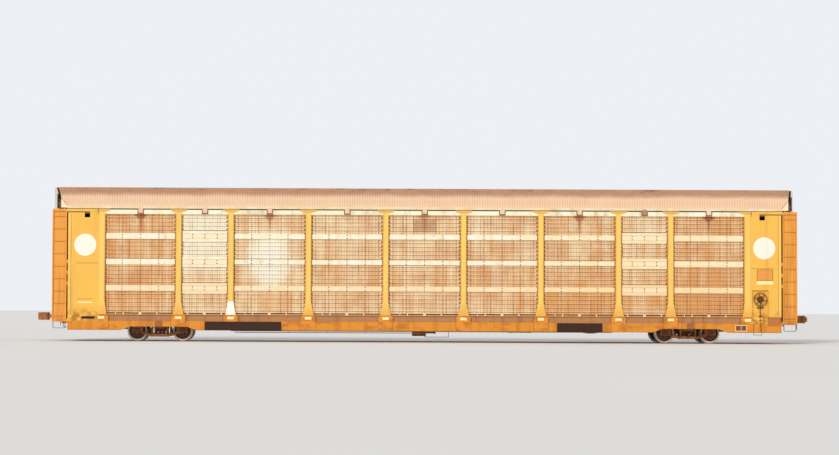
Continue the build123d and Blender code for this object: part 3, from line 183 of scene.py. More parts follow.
class RackProps(bpy.types.PropertyGroup):
    """Sizes and colours of the rack's skin."""

    corrugation_pitch: FloatProperty(
        name="Corrugation pitch", description="Height of one corrugation of a screen", default=0.148,
        min=0.05, max=0.4, unit="LENGTH")
    corrugation_depth: FloatProperty(
        name="Corrugation depth", description="How far a corrugation stands out", default=0.036,
        min=0.005, max=0.08, unit="LENGTH")
    band_height: FloatProperty(
        name="Band height", description="Height of the pale lap bands", default=0.22,
        min=0.05, max=0.5, unit="LENGTH")
    roof_pitch: FloatProperty(
        name="Roof pitch", description="Length of one corrugation of the roof", default=0.092,
        min=0.04, max=0.3, unit="LENGTH")
    yellow: FloatVectorProperty(
        name="Panel yellow", description="Paint of the end panels", default=(0.985, 0.755, 0.325), **COLOUR)
    orange: FloatVectorProperty(
        name="Ladder orange", description="Paint of the corner ladders", default=(0.945, 0.635, 0.215),
        **COLOUR)
    sill: FloatVectorProperty(
        name="Sill orange", description="Paint of the side sills", default=(0.9, 0.575, 0.175), **COLOUR)
    zinc_pale: FloatVectorProperty(
        name="Pale zinc", description="The screens where they are palest", default=(1.0, 0.95, 0.8), **COLOUR)
    zinc_tan: FloatVectorProperty(
        name="Tan zinc", description="The screens where they are darkest", default=(0.915, 0.68, 0.415),
        **COLOUR)
    roof_skirt: FloatVectorProperty(
        name="Roof skirt", description="The roof's upright sides", default=(0.945, 0.8, 0.65), **COLOUR)
    # The crown's colour is partly painted shade of the grazing-lit top, partly weathering.
    roof_crown_shade_and_wear: FloatVectorProperty(
        name="Roof crown", description="The roof's weathered top", default=(0.77, 0.57, 0.41), **COLOUR)


def props():
    return bpy.context.scene.rack_props


# Meshes. A patch is (points, [faces, ...]), where each faces array has one row for each face.


def lattice(rows, cols, first=0):
    """Quads between the neighbouring points of a grid, which are numbered row by row."""
    r, c = np.mgrid[0:rows - 1, 0:cols - 1]
    a = first + r * cols + c
    return np.stack([a, a + 1, a + cols + 1, a + cols], -1).reshape(-1, 4)


def sheet(front, back):
    """A sheet with thickness: two grids of points, joined round their four edges."""
    rows, cols = front.shape[:2]
    count = rows * cols
    index = np.arange(count).reshape(rows, cols)
    rim = np.concatenate([index[0, :-1], index[:-1, -1], index[-1, :0:-1], index[:0:-1, 0]])
    ahead = np.roll(rim, -1)
    edge = np.stack([ahead, rim, rim + count, ahead + count], -1)
    points = np.concatenate([front.reshape(-1, 3), back.reshape(-1, 3)])
    return points, [lattice(rows, cols), lattice(rows, cols, count), edge]


def backed(front, depth):
    """A grid made solid: its two end columns again, moved by a depth, make its back."""
    rows, cols = front.shape[:2]
    back = front[:, [0, -1]] + np.array(depth)
    index = np.arange(rows * cols).reshape(rows, cols)
    left = rows * cols + 2 * np.arange(rows)
    right = left + 1
    rear = np.stack([left[:-1], right[:-1], right[1:], left[1:]], -1)
    near = np.stack([index[:-1, 0], index[1:, 0], left[1:], left[:-1]], -1)
    far = np.stack([index[:-1, -1], index[1:, -1], right[1:], right[:-1]], -1)
    ends = [np.concatenate([index[row], [right[row], left[row]]])[None] for row in (0, -1)]
    points = np.concatenate([front.reshape(-1, 3), back.reshape(-1, 3)])
    return points, [lattice(rows, cols), rear, near, far, *ends]


def backed_values(values):
    """A value for each point of a backed grid."""
    return np.concatenate([values.ravel(), values[:, [0, -1]].ravel()])


def merge(patches):
    """Many patches as one."""
    first = np.cumsum([0] + [len(points) for points, faces in patches])
    points = np.concatenate([points for points, faces in patches])
    return points, [face + start for (_, sets), start in zip(patches, first) for face in sets]


def copies(patch, places):
    """A patch repeated at each place."""
    points, sets = patch
    places = np.array(places, float)
    start = np.arange(len(places))[:, None, None] * len(points)
    faces = [(face + start).reshape(-1, face.shape[1]) for face in sets]
    return (points + places[:, None]).reshape(-1, 3), faces


def block(xs, ys, hs, side=1):
    """A box's low and high corners, from its ranges along the car, out to one side and up."""
    x, y = sorted(xs), sorted(side * y for y in ys)
    return (x[0], y[0], hs[0] + RAIL), (x[1], y[1], hs[1] + RAIL)


def boxes(blocks):
    """Upright boxes: each corner takes the low or the high value of each axis."""
    lows, highs = np.array(blocks, float).transpose(1, 0, 2)
    pick = np.array([[n & 1, n >> 1 & 1, n >> 2 & 1] for n in range(8)], bool)
    points = np.where(pick, highs[:, None], lows[:, None]).reshape(-1, 3)
    sides = np.array([[0, 2, 3, 1], [4, 5, 7, 6], [0, 1, 5, 4], [2, 6, 7, 3], [0, 4, 6, 2], [1, 3, 7, 5]])
    return points, [(np.arange(len(lows))[:, None, None] * 8 + sides).reshape(-1, 4)]


def loft(rings):
    """Closed rings of points, joined one to the next and capped at both ends."""
    rows, sides = rings.shape[:2]
    row, c = np.mgrid[0:rows - 1, 0:sides]
    start, ahead = row * sides, (c + 1) % sides
    quads = np.stack([start + c, start + ahead, start + sides + ahead, start + sides + c], -1).reshape(-1, 4)
    cap = np.arange(sides)
    return rings.reshape(-1, 3), [quads, np.array([cap[::-1], cap + (rows - 1) * sides])]


def spun(sides, a, b):
    """Points round a circle whose radii a and b are square to each other."""
    turn = np.linspace(0, 2 * np.pi, sides, endpoint=False)[:, None]
    return np.cos(turn) * a + np.sin(turn) * b


def turned(profile, normal, sides):
    """A turned shape: a profile of (distance along a level axis, radius) pairs carried round it."""
    profile = np.array(profile, float)
    n = np.array(normal, float)
    a = np.cross(n, (0.0, 0.0, 1.0))
    ring = spun(sides, a, np.cross(n, a))
    return loft(profile[:, None, :1] * n + profile[:, None, 1:] * ring)


def studs(centres, side, radius, height):
    """Six-sided bolt heads, narrower at the top, that stand out on one side."""
    return copies(turned([(0, radius), (height, radius * 0.8)], (0, side, 0), 6), centres)


def shape(name, patch):
    """A mesh object from a patch, at the origin."""
    points, sets = patch
    mesh = bpy.data.meshes.new(name)
    mesh.from_pydata(points.tolist(), [], [face for faces in sets for face in faces.tolist()])
    made = bpy.data.objects.new(name, mesh)
    bpy.context.scene.collection.objects.link(made)
    return made


def add_piece(name, patch, finish, body="car_body", attributes=None, bevel=0.0, smooth=False):
    """A patch as a finished piece, its faces outward."""
    piece = shape(name, patch)
    mesh = piece.data
    for key, values in (attributes or {}).items():
        mesh.attributes.new(key, "FLOAT", "POINT").data.foreach_set("value", values.astype(np.float32))
    outward = bmesh.new()
    outward.from_mesh(mesh)
    bmesh.ops.recalc_face_normals(outward, faces=outward.faces)
    outward.to_mesh(mesh)
    outward.free()
    if smooth:
        mesh.shade_smooth()
        mesh.set_sharp_from_angle(angle=math.radians(38))
    mesh.materials.append(material(finish))
    if bevel:
        edge = piece.modifiers.new("soft edges", "BEVEL")
        edge.width = bevel
        edge.segments = 2
        edge.limit_method = "ANGLE"
    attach(piece, body)
    return piece


# Materials

BLANK_BROWN = (0.225, 0.125, 0.06)
# Painted shade: the dark outline round the posts' feet.
FOOT_EDGE_SHADE = (0.5, 0.28, 0.1)
YELLOWED = (0.97, 0.86, 0.62)
SCREEN_SEAMS = (0.0, 0.415, 0.67, 0.8, 1.16)
FAINT_SEAMS = (0.1, 0.21, 0.31, 0.54, 0.91, 1.05, 1.27)
SHEET_WIDTH, SHEET_HEIGHT, SHEET_LOW_H = 0.405, 0.955, 0.98


def linear(colour):
    """An sRGB colour as the linear values that shaders take."""
    c = np.array(colour[:3], float)
    return (*np.where(c <= 0.04045, c / 12.92, ((c + 0.055) / 1.055) ** 2.4), 1.0)


class Nodes:
    """A node tree, with short ways to add to it."""

    def __init__(self, owner):
        owner.use_nodes = True
        self.tree = owner.node_tree

    def node(self, kind, **settings):
        made = self.tree.nodes.new(kind)
        for key, value in settings.items():
            setattr(made, key, value)
        return made

    def fill(self, socket, value):
        """A socket linked to another's value, or set to a plain one."""
        if isinstance(value, bpy.types.NodeSocket):
            self.tree.links.new(value, socket)
        else:
            socket.default_value = value

    def feed(self, node, **values):
        """A node's outputs, once the named sockets are filled."""
        for key, value in values.items():
            self.fill(node.inputs[key.replace("_", " ")], value)
        return node.outputs

    def math(self, operation, *values):
        made = self.node("ShaderNodeMath", operation=operation)
        for socket, value in zip(made.inputs, values):
            self.fill(socket, value)
        return made.outputs[0]

    def chain(self, operation, values):
        """Many values taken together, two at a time."""
        return reduce(partial(self.math, operation), values)


class Finish(Nodes):
    """A material's tree, its coordinates, the tone so far, and short ways to add to them."""

    def __init__(self, name, roughness=0.6, metallic=0.0):
        self.material = bpy.data.materials.new(name)
        super().__init__(self.material)
        self.shader = self.tree.nodes["Principled BSDF"]
        self.feed(self.shader, Roughness=roughness, Metallic=metallic)
        self.where = self.node("ShaderNodeTexCoord").outputs["Object"]
        self.x, self.y, self.z = self.apart(self.where)
        self.out = self.math("ABSOLUTE", self.x)
        self.side = self.math("ABSOLUTE", self.y)
        self.height = self.less(self.z, RAIL)
        # The distance along the car as someone facing either side counts it, from left to right.
        self.turned_x = self.both(self.x, self.math("SIGN", self.y), -1.0)
        self.tone = None

    def apart(self, vector):
        """The three numbers of a vector."""
        return self.feed(self.node("ShaderNodeSeparateXYZ"), Vector=vector)

    def noise(self, scale, low, high, seed, up=1, detail=4, rough=0.55, across=1):
        """Clouds of noise, stretched up and across, and clipped between two levels to run from 0 to 1."""
        shift = (seed, seed * 0.7, seed * 1.3)
        place = self.node("ShaderNodeMapping")
        where = self.feed(place, Vector=self.where, Scale=(1, across, up), Location=shift)[0]
        noise = self.node("ShaderNodeTexNoise")
        cloud = self.feed(noise, Vector=where, Scale=scale, Detail=detail, Roughness=rough)[0]
        return self.ramp(cloud, low, high)

    def ramp(self, value, low, high, out_low=0.0, out_high=1.0):
        """A value carried from one range to another, and kept inside it."""
        span = self.node("ShaderNodeMapRange", clamp=True)
        return self.feed(span, Value=value, From_Min=low, From_Max=high, To_Min=out_low, To_Max=out_high)[0]

    def fall(self, value, low, high):
        """1 up to the low value, and 0 from the high one on."""
        return self.ramp(value, low, high, 1, 0)

    def less(self, value, taken):
        return self.math("SUBTRACT", value, taken)

    def both(self, *masks):
        """The product of masks."""
        return self.chain("MULTIPLY", masks)

    def either(self, *masks):
        """The strongest of the masks."""
        return self.chain("MAXIMUM", masks)

    def nearest(self, value, places):
        """The distance from a value to the nearest of the places."""
        return self.chain("MINIMUM", [self.math("ABSOLUTE", self.less(value, place)) for place in places])

    def lines(self, value, places, half):
        """1 within a half width of a place, and 0 elsewhere, with soft edges."""
        return self.fall(self.nearest(value, places), half * 0.6, half * 1.5)

    def window(self, value, low, high, soft=0.004):
        """1 between two values and 0 outside, with soft edges."""
        return self.both(self.ramp(value, low - soft, low + soft), self.fall(value, high - soft, high + soft))

    def attribute(self, name):
        return self.node("ShaderNodeAttribute", attribute_name=name).outputs["Fac"]

    def blanks(self):
        """Where each side's two dark blank panels lie along the car."""
        return self.either(self.window(self.turned_x, -8.07, -5.25), self.window(self.turned_x, 4.86, 6.53))

    def coat(self, colour, *masks):
        """A colour laid over the tone so far, as strong as the product of the masks."""
        made = self.node("ShaderNodeMix", data_type="RGBA")
        sockets = [s for s in made.inputs if s.name in ("A", "B") and s.type == "RGBA"]
        for socket, value in zip(sockets, (self.tone, colour)):
            self.fill(socket, value if isinstance(value, bpy.types.NodeSocket) else linear(value))
        outputs = self.feed(made, Factor=self.both(*masks))
        self.tone = [s for s in outputs if s.type == "RGBA"][0]

    def bump(self, height, distance, strength):
        made = self.feed(self.node("ShaderNodeBump"), Height=height, Distance=distance, Strength=strength)
        self.feed(self.shader, Normal=made[0])

    def done(self):
        """The material, with its tone as the surface's colour."""
        self.feed(self.shader, Base_Color=self.tone)
        return self.material


def box_marks(f):
    """The pair of framed brown boxes near the right-hand end of each side."""
    f.coat((0.97, 0.84, 0.62), f.window(f.turned_x, 11.4, 11.83), f.window(f.height, 0.44, 0.67))
    inside = f.either(f.window(f.turned_x, 11.425, 11.605), f.window(f.turned_x, 11.625, 11.805))
    f.coat((0.5, 0.31, 0.17), inside, f.window(f.height, 0.465, 0.645))


def post_marks(f):
    """Painted shade on the posts' flanks, edges and foot outlines, orange caps, rusty orange feet over the
    sill, one foot left white.
    """
    gap = f.nearest(f.out, (*POST_X, END_POST_X))
    # Painted shade: the posts' set-back flanks darker.
    f.coat((0.7, 0.48, 0.17), f.fall(f.side, PLATE_FACE_Y - 0.008, PLATE_FACE_Y - 0.004), 0.8)
    # Painted shade: each post's face darker towards its edges.
    f.coat((0.86, 0.62, 0.26), f.ramp(gap, 0.06, 0.086), f.window(f.height, 1.47, 4.7, 0.02), 0.35)
    f.coat((0.9, 0.61, 0.235), f.fall(f.height, 1.05, 1.5), 0.55)
    f.coat((0.88, 0.61, 0.24), f.ramp(f.height, 4.71, 4.725), 0.55)
    base = f.fall(f.height, 0.945, 0.96)
    f.coat((0.905, 0.575, 0.2), base)
    blotch = f.noise(3.2, 0.44, 0.64, 41, 1.4, 6)
    f.coat((0.62, 0.34, 0.13), base, blotch, 0.6)
    # Painted shade lines along the top and the sides of each foot plate.
    f.coat(FOOT_EDGE_SHADE, f.lines(f.height, (0.952,), 0.01), 0.6)
    f.coat(FOOT_EDGE_SHADE, base, f.lines(gap, (0.275,), 0.012), 0.55)
    near_side = f.math("LESS_THAN", f.y, 0.0)
    f.coat((1, 0.985, 0.93), f.window(f.height, 0.96, 1.46), f.lines(f.x, (-POST_X[2],), 0.17), near_side)
    box_marks(f)
    f.coat(BLANK_BROWN, f.blanks(), f.fall(f.height, 0.71, 0.72))


def header_marks(f):
    """The header's stains that run down, and painted shade on its ends behind the end panels."""
    f.coat((0.8, 0.64, 0.45), f.noise(3.5, 0.5, 0.68, 31, 0.4, 5), 0.55)
    # Painted shade: the header's ends behind the end panels darkened.
    f.coat((0.34, 0.2, 0.09), f.ramp(f.out, 11.93, 11.96))


def band_marks(f):
    """Yellowed blotches on the bands, and the peach middles of the short bays' wide ones."""
    f.coat(YELLOWED, f.noise(2.6, 0.5, 0.7, 23, 1.6, 5), 0.45)
    f.coat(YELLOWED, f.ramp(f.turned_x, 1.5, 6), 0.5)
    f.coat((0.95, 0.8, 0.55), f.fall(f.height, 2.2, 2.3), 0.45)
    gap = f.nearest(f.height, BANDS_H)
    short = f.window(f.out, 7.2, 8.96)
    f.coat((0.98, 0.89, 0.72), short, f.fall(gap, 0.088, 0.1), 0.65)
    f.coat((0.7, 0.5, 0.32), short, f.lines(gap, (0.094,), 0.009), 0.45)


def clamp_marks(f):
    """The clamps' tones: pink near the left-hand end, cream elsewhere and one brown."""
    f.coat((0.93, 0.76, 0.645), f.fall(f.turned_x, -5, -4.9))
    f.coat((0.66, 0.53, 0.42), f.window(f.turned_x, 7.6, 8.6))


def door_marks(f):
    """Streaks down the doors, and a dark strip of painted shade along their hinge edges, above the rack."""
    f.coat((0.66, 0.5, 0.36), f.noise(4, 0.5, 0.75, 33, 0.05, 5), 0.5)
    # Painted shade: a near-black strip along each leaf's hinge edge, above the rack.
    f.coat((0.07, 0.055, 0.045), f.ramp(f.side, 1.285, 1.295), f.ramp(f.z, 4.88, 4.9))


def brake_marks(f):
    """The hand brake's low box, dusted with the sill's orange."""
    f.coat((0.8, 0.5, 0.26), f.window(f.out, 12.5, 13.15), f.window(f.height, 0.6, 0.97), 0.8)


def panel_marks(f):
    """The end panels' seams, painted shade and painted highlight on the bent edge, shadow line under the cap,
    rusty foot and painted shade in the openings.
    """
    upright = f.window(f.height, 0.98, 4.66)
    lap = f.math("ADD", f.height, f.both(f.math("SIGN", f.x), 0.045))
    seams = f.both(f.lines(lap, (2.795,), 0.011), f.window(f.out, 11.99, 12.8))
    # edges: a dark line of painted shade along each panel's bent edge; the seams are dark joints.
    edges = f.both(f.lines(f.out, (12.995,), 0.01), upright)
    f.coat((0.58, 0.36, 0.13), f.either(seams, edges), 0.65)
    f.coat((0.3, 0.15, 0.06), f.window(f.height, 4.7, 4.737), f.window(f.out, 12.3, 13.09), 0.85)
    # Painted highlight: a pale strip on the bent edge.
    f.coat((1, 0.86, 0.52), f.window(f.out, 13.005, 13.08), upright, 0.45)
    blotch = f.noise(4, 0.42, 0.6, 9, 1, 6)
    f.coat((0.62, 0.36, 0.15), f.fall(f.height, 0.95, 1.25), blotch, 0.75)
    # Painted shade: the walls inside the cable hole and the low slot are near black.
    ends = f.either(f.ramp(f.height, 4.48, 4.5), f.fall(f.height, 0.94, 0.95))
    f.coat((0.07, 0.05, 0.035), f.fall(f.side, 1.506, 1.511), ends)


def sill_marks(f):
    """The side sills' rusty patches, two dark blank panels, framed boxes and brown bolster ends."""
    f.coat((0.66, 0.36, 0.14), f.noise(1.7, 0.52, 0.66, 15, 2.2, 7), 0.55)
    f.coat((0.52, 0.28, 0.12), f.fall(f.height, 0.385, 0.43), 0.5)
    f.coat(BLANK_BROWN, f.blanks(), f.window(f.height, 0.375, 0.715))
    box_marks(f)
    f.coat((0.6, 0.37, 0.2), f.window(f.out, TRUCK_X - 0.135, TRUCK_X + 0.135), 0.85)


def paint(name, colour, dirt, rust, marks=None, roughness=0.55):
    """Weathered paint: cloudy fading, streaks of dirt that run down and any marks, below rust specks."""
    f = Finish(name, roughness)
    given = getattr(props(), colour) if isinstance(colour, str) else colour
    f.tone = np.array(given[:3])
    faded, grimy = f.tone * 0.93 + 0.03, f.tone * (0.66, 0.52, 0.4)
    f.coat(faded, f.noise(0.9, 0.3, 0.72, 3.1))
    f.coat(grimy, f.noise(5, 0.5, 0.78, 7.7, 0.07, 5), dirt)
    if marks:
        marks(f)
        f.feed(f.shader, Specular_IOR_Level=0.25)
    patches = f.noise(2.2, 0.6, 0.74, 1.9, 0.6, 6)
    spots = f.noise(16, 0.62, 0.72, 5.3, 0.5, 3)
    f.coat((0.45, 0.23, 0.11), patches, spots, rust)
    f.bump(f.noise(22, 0.2, 0.8, 0, 0.6), 0.0015, 0.35)
    return f.done()


def metal(name, pale, dark, rust, metallic=0.15, marks=None, scale=2.0, up=1, roughness=0.5):
    """Dull zinc or steel: two tones in clouds and fine grain, with rust creeping in, and any marks."""
    f = Finish(name, roughness, metallic)
    f.tone = pale
    f.coat(dark, f.noise(scale, 0.35, 0.68, 2, up, 6))
    grain = f.noise(40, 0.3, 0.7, 4, 0.3, 3)
    f.coat(np.array(dark) * 0.7, grain, 0.18)
    f.coat((0.5, 0.29, 0.16), f.noise(5, 0.58, 0.7, 8, 0.5, 6), rust)
    if marks:
        marks(f)
    f.bump(grain, 0.001, 0.3)
    return f.done()


def rusty_iron(name, base, dark, dust):
    """Cast steel gone brown: coarse blotches, pitting and pale dust on what faces up."""
    f = Finish(name, 0.8)
    f.tone = base
    f.coat(dark, f.noise(6, 0.35, 0.65, 1, 1, 6))
    normal = f.node("ShaderNodeNewGeometry").outputs["Normal"]
    f.coat((0.62, 0.48, 0.36), f.ramp(f.apart(normal)["Z"], 0.2, 0.9), dust)
    f.bump(f.noise(60, 0.35, 0.75, 6), 0.002, 0.5)
    return f.done()


def screen_zinc(name):
    """Screen zinc: each sheet its own pale or tan, dark seams, dirt and painted shade on the slopes, rust
    below the clamps.
    """
    f = Finish(name, 0.55, 0.1)
    bay_tone = f.attribute("tone")
    across = f.math("ABSOLUTE", f.attribute("across"))
    column = f.math("FLOOR", f.math("DIVIDE", f.x, SHEET_WIDTH))
    tier = f.math("FLOOR", f.math("DIVIDE", f.less(f.height, SHEET_LOW_H), SHEET_HEIGHT))
    number = f.feed(f.node("ShaderNodeCombineXYZ"), X=column, Y=f.math("SIGN", f.y), Z=tier)[0]
    random = f.feed(f.node("ShaderNodeTexWhiteNoise", noise_dimensions="3D"), Vector=number)["Value"]
    own = f.both(f.less(random, 0.5), 0.26)
    cloud = f.both(f.less(f.noise(1.8, 0.25, 0.75, 2.2, 0.9, 6, 0.6), 0.5), 0.34)
    stripe = f.both(f.less(f.noise(5, 0.3, 0.7, 18, 0.12, 3, 0.5), 0.5), 0.46)
    shade = f.both(f.fall(f.z, 1.2, 3.6), f.ramp(f.turned_x, 1, 5.5, 0.12, 0.42))
    f.tone = props().zinc_pale
    f.coat(props().zinc_tan, f.ramp(f.chain("ADD", (bay_tone, own, stripe, cloud, shade)), 0.05, 0.95))
    f.coat((1, 0.995, 0.93), f.fall(bay_tone, 0.05, 0.3), 0.55)
    # Painted highlight: where the glare pushes the tone below 0, the sheet turns near white.
    f.coat((1, 1, 0.97), f.ramp(bay_tone, -0.6, 0, 0.9, 0))
    pink = f.noise(1.2, 0.45, 0.62, 11, 2)
    f.coat((0.86, 0.6, 0.42), pink, f.ramp(bay_tone, 0.1, 0.5), 0.4)
    speck = f.noise(24, 0.52, 0.7, 4.4, 0.35)
    f.coat((0.66, 0.44, 0.27), speck, 0.14)
    seams = f.either(f.lines(across, SCREEN_SEAMS, 0.021), f.both(f.lines(across, FAINT_SEAMS, 0.014), 0.55))
    wear = f.noise(2.4, 0.32, 0.62, 14, 0.55)
    worn = f.math("ADD", 0.15, f.both(wear, 0.85))
    f.coat((0.62, 0.4, 0.21), seams, worn, f.ramp(bay_tone, 0, 0.5, 0.45, 0.72))
    smear = f.noise(7, 0.05, 0.5, 6.6, 0.4)
    # Dirt and painted shade on the corrugations' slopes and crest ends.
    f.coat((0.58, 0.38, 0.2), f.attribute("grime"), smear, f.ramp(bay_tone, 0, 0.5, 0.7, 0.78))
    middle_bay = f.window(f.attribute("bay"), 4.9, 5.1)
    f.coat((0.62, 0.4, 0.24), middle_bay, f.window(across, 0, 0.43), f.window(f.z, 4.06, 4.52), 0.45)
    flare = f.ramp(f.height, 4.44, 4.6, 0.07, 0.3)
    spread = f.ramp(f.less(1, f.math("DIVIDE", across, flare)), 0, 0.6)
    drip = f.noise(9, 0.05, 0.5, 12, 0.25)
    f.coat((0.6, 0.29, 0.12), spread, f.ramp(f.height, 3.95, 4.62), f.attribute("rust"), drip)
    f.bump(speck, 0.0012, 0.3)
    return f.done()


def roof_zinc(name):
    """Roof zinc: the pale skirt darkens over the shoulder to a rusty crown, partly painted shade of the
    grazing-lit top, and is darker in each groove.
    """
    f = Finish(name, 0.6, 0.1)
    drift = f.both(f.less(f.noise(0.6, 0.2, 0.8, 17, 1, 5), 0.5), 0.1)
    drifted = f.math("ADD", f.height, drift)
    crown = f.ramp(drifted, 5.3, 5.47)
    f.tone = props().roof_skirt
    f.coat((0.9, 0.73, 0.585), f.noise(1.1, 0.3, 0.75, 3, 1, 6), 0.5)
    # Painted shade with weathering: the crown darker than the skirt.
    f.coat(props().roof_crown_shade_and_wear, crown)
    mottle = f.noise(2, 0.4, 0.66, 27, 1, 7, 0.7, 1.2)
    f.coat((0.6, 0.41, 0.29), mottle, crown, 0.38)
    rust = f.noise(1.3, 0.54, 0.64, 7, 1, 7, 0.68, 1.6)
    f.coat((0.46, 0.25, 0.15), rust, f.ramp(drifted, 5.5, 5.62), 0.9)
    mitre = f.math("ADD", MITRE_X, f.both(f.less(f.height, MITRE_LOW_H), 0.83))
    past = f.less(f.out, f.math("MINIMUM", mitre, 13.55))
    f.coat((1, 0.9, 0.74), f.ramp(past, -0.005, 0.005), 0.85)
    f.coat((0.5, 0.31, 0.2), f.lines(past, (0,), 0.014), f.fall(drifted, 5.5, 5.6), 0.7)
    f.coat((1, 0.93, 0.76), f.attribute("plain"), f.lines(f.height, (4.9,), 0.03))
    worn = f.noise(0.9, 0.3, 0.7, 21, 0.8, 5)
    f.coat((0.62, 0.4, 0.28), f.attribute("grime"), f.math("ADD", 0.12, f.both(worn, 0.2)))
    f.bump(f.noise(30, 0.3, 0.7, 0, 1, 3), 0.001, 0.3)
    return f.done()


def wheel_steel(name, x):
    """A wheel: brown plate and hub, and a rim and tread at the wheel's own radius, worn bright and painted
    near white as a highlight.
    """
    f = Finish(name, 0.5)
    along, up = f.less(f.x, x), f.less(f.height, WHEEL_RADIUS)
    rim = f.ramp(f.math("SQRT", f.math("ADD", f.both(along, along), f.both(up, up))), 0.3, 0.308)
    # Worn steel with a painted highlight: the rim near white.
    f.tone = (1.0, 0.99, 0.94)
    f.coat((0.93, 0.82, 0.69), f.noise(12, 0.3, 0.7, 5))
    worn = f.tone
    f.tone = (0.46, 0.27, 0.17)
    f.coat((0.33, 0.2, 0.13), f.noise(8, 0.3, 0.7, 2, 1, 5))
    f.coat(worn, rim)
    f.bump(f.noise(50, 0.3, 0.7, 0, 1, 3), 0.001, 0.3)
    return f.done()


# Each finish's maker, and what that takes after the name, in its order. A paint's colour may be a prop.
FINISHES = {
    "post paint": (paint, (1, 0.825, 0.42), 0.25, 0.35, post_marks),
    "panel paint": (paint, "yellow", 0.25, 0.4, panel_marks),
    "ladder paint": (paint, "orange", 0.6, 0.6),
    "sill paint": (paint, "sill", 0.6, 0.7, sill_marks),
    "platform paint": (paint, "sill", 0.7, 0.8),
    "brown paint": (paint, (0.47, 0.33, 0.22), 0.5, 0.5),
    "brake brown": (paint, (0.42, 0.25, 0.14), 0.5, 0.5, brake_marks),
    "curb brown": (paint, (0.72, 0.495, 0.3), 0.6, 0.7),
    "white paint": (paint, (1, 0.975, 0.9), 0.15, 0.25),
    "cream plate": (paint, (1, 0.95, 0.7), 0.12, 0.1),
    "orange plate": (paint, (0.95, 0.62, 0.25), 0.25, 0.2),
    "trim brown": (paint, (0.66, 0.42, 0.17), 0.3, 0.3),
    # Painted shade: near-black paint for the boxes and sheets put in gaps and slots where shade falls.
    "dark gap": (paint, (0.1, 0.07, 0.05), 0.1, 0.1, None, 0.9),
    "ledge tan": (paint, (0.87, 0.66, 0.39), 0.4, 0.5),
    "band zinc": (metal, (1, 0.985, 0.9), (0.985, 0.92, 0.77), 0.25, 0.05, band_marks, 2.5, 0.5),
    "eave zinc": (metal, (0.97, 0.91, 0.77), (0.94, 0.82, 0.63), 0.15, 0.05),
    "header zinc": (metal, (1, 0.99, 0.88), (0.99, 0.93, 0.77), 0.2, 0.05, header_marks),
    "door zinc": (metal, (0.97, 0.92, 0.81), (0.85, 0.77, 0.64), 0.5, 0.1, door_marks, 1.4, 0.4),
    "step zinc": (metal, (0.86, 0.78, 0.66), (0.64, 0.54, 0.44), 0.4),
    "bow zinc": (metal, (0.66, 0.6, 0.53), (0.5, 0.44, 0.38), 0.5),
    "deck steel": (metal, (0.46, 0.37, 0.3), (0.32, 0.25, 0.2), 0.7, 0.15, None, 2, 1, 0.7),
    "clamp strap": (metal, (0.96, 0.87, 0.71), (0.92, 0.78, 0.6), 0.3, 0, clamp_marks, 2, 1, 0.6),
    "bolt steel": (rusty_iron, (0.4, 0.27, 0.17), (0.28, 0.18, 0.12), 0.2),
    "cast steel": (rusty_iron, (0.72, 0.46, 0.265), (0.5, 0.31, 0.18), 0.35),
    "spring steel": (rusty_iron, (0.52, 0.31, 0.185), (0.34, 0.205, 0.13), 0.3),
    "clamp steel": (rusty_iron, (0.6, 0.42, 0.28), (0.48, 0.31, 0.2), 0.1),
    "band bolt": (rusty_iron, (0.56, 0.45, 0.32), (0.44, 0.33, 0.22), 0.2),
    "screen zinc": (screen_zinc,),
    "roof zinc": (roof_zinc,),
    **{f"wheel steel {place} {letter}": (wheel_steel, x) for letter, end in ENDS for place, x in axles(end)},
}


def material(name):
    """The named finish, made once."""
    if name in bpy.data.materials:
        return bpy.data.materials[name]
    maker, *settings = FINISHES[name]
    return maker(name, *settings)


def dress(node, finish):
    """A carried-over CAD node's object with its finish in every material slot."""
    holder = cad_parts[node]
    if not holder.material_slots:
        holder.data.materials.append(material(finish))
    for slot in holder.material_slots:
        slot.material = material(finish)


# Pieces


def wave(phase, flat=0.3, rise=0.14):
    """A trapezoid wave of phase: 0 in the valley, 1 on the crest, with straight slopes between."""
    from_middle = np.abs(np.mod(phase, 1.0) - 0.5)
    return np.clip((flat / 2 + rise - from_middle) / rise, 0, 1)


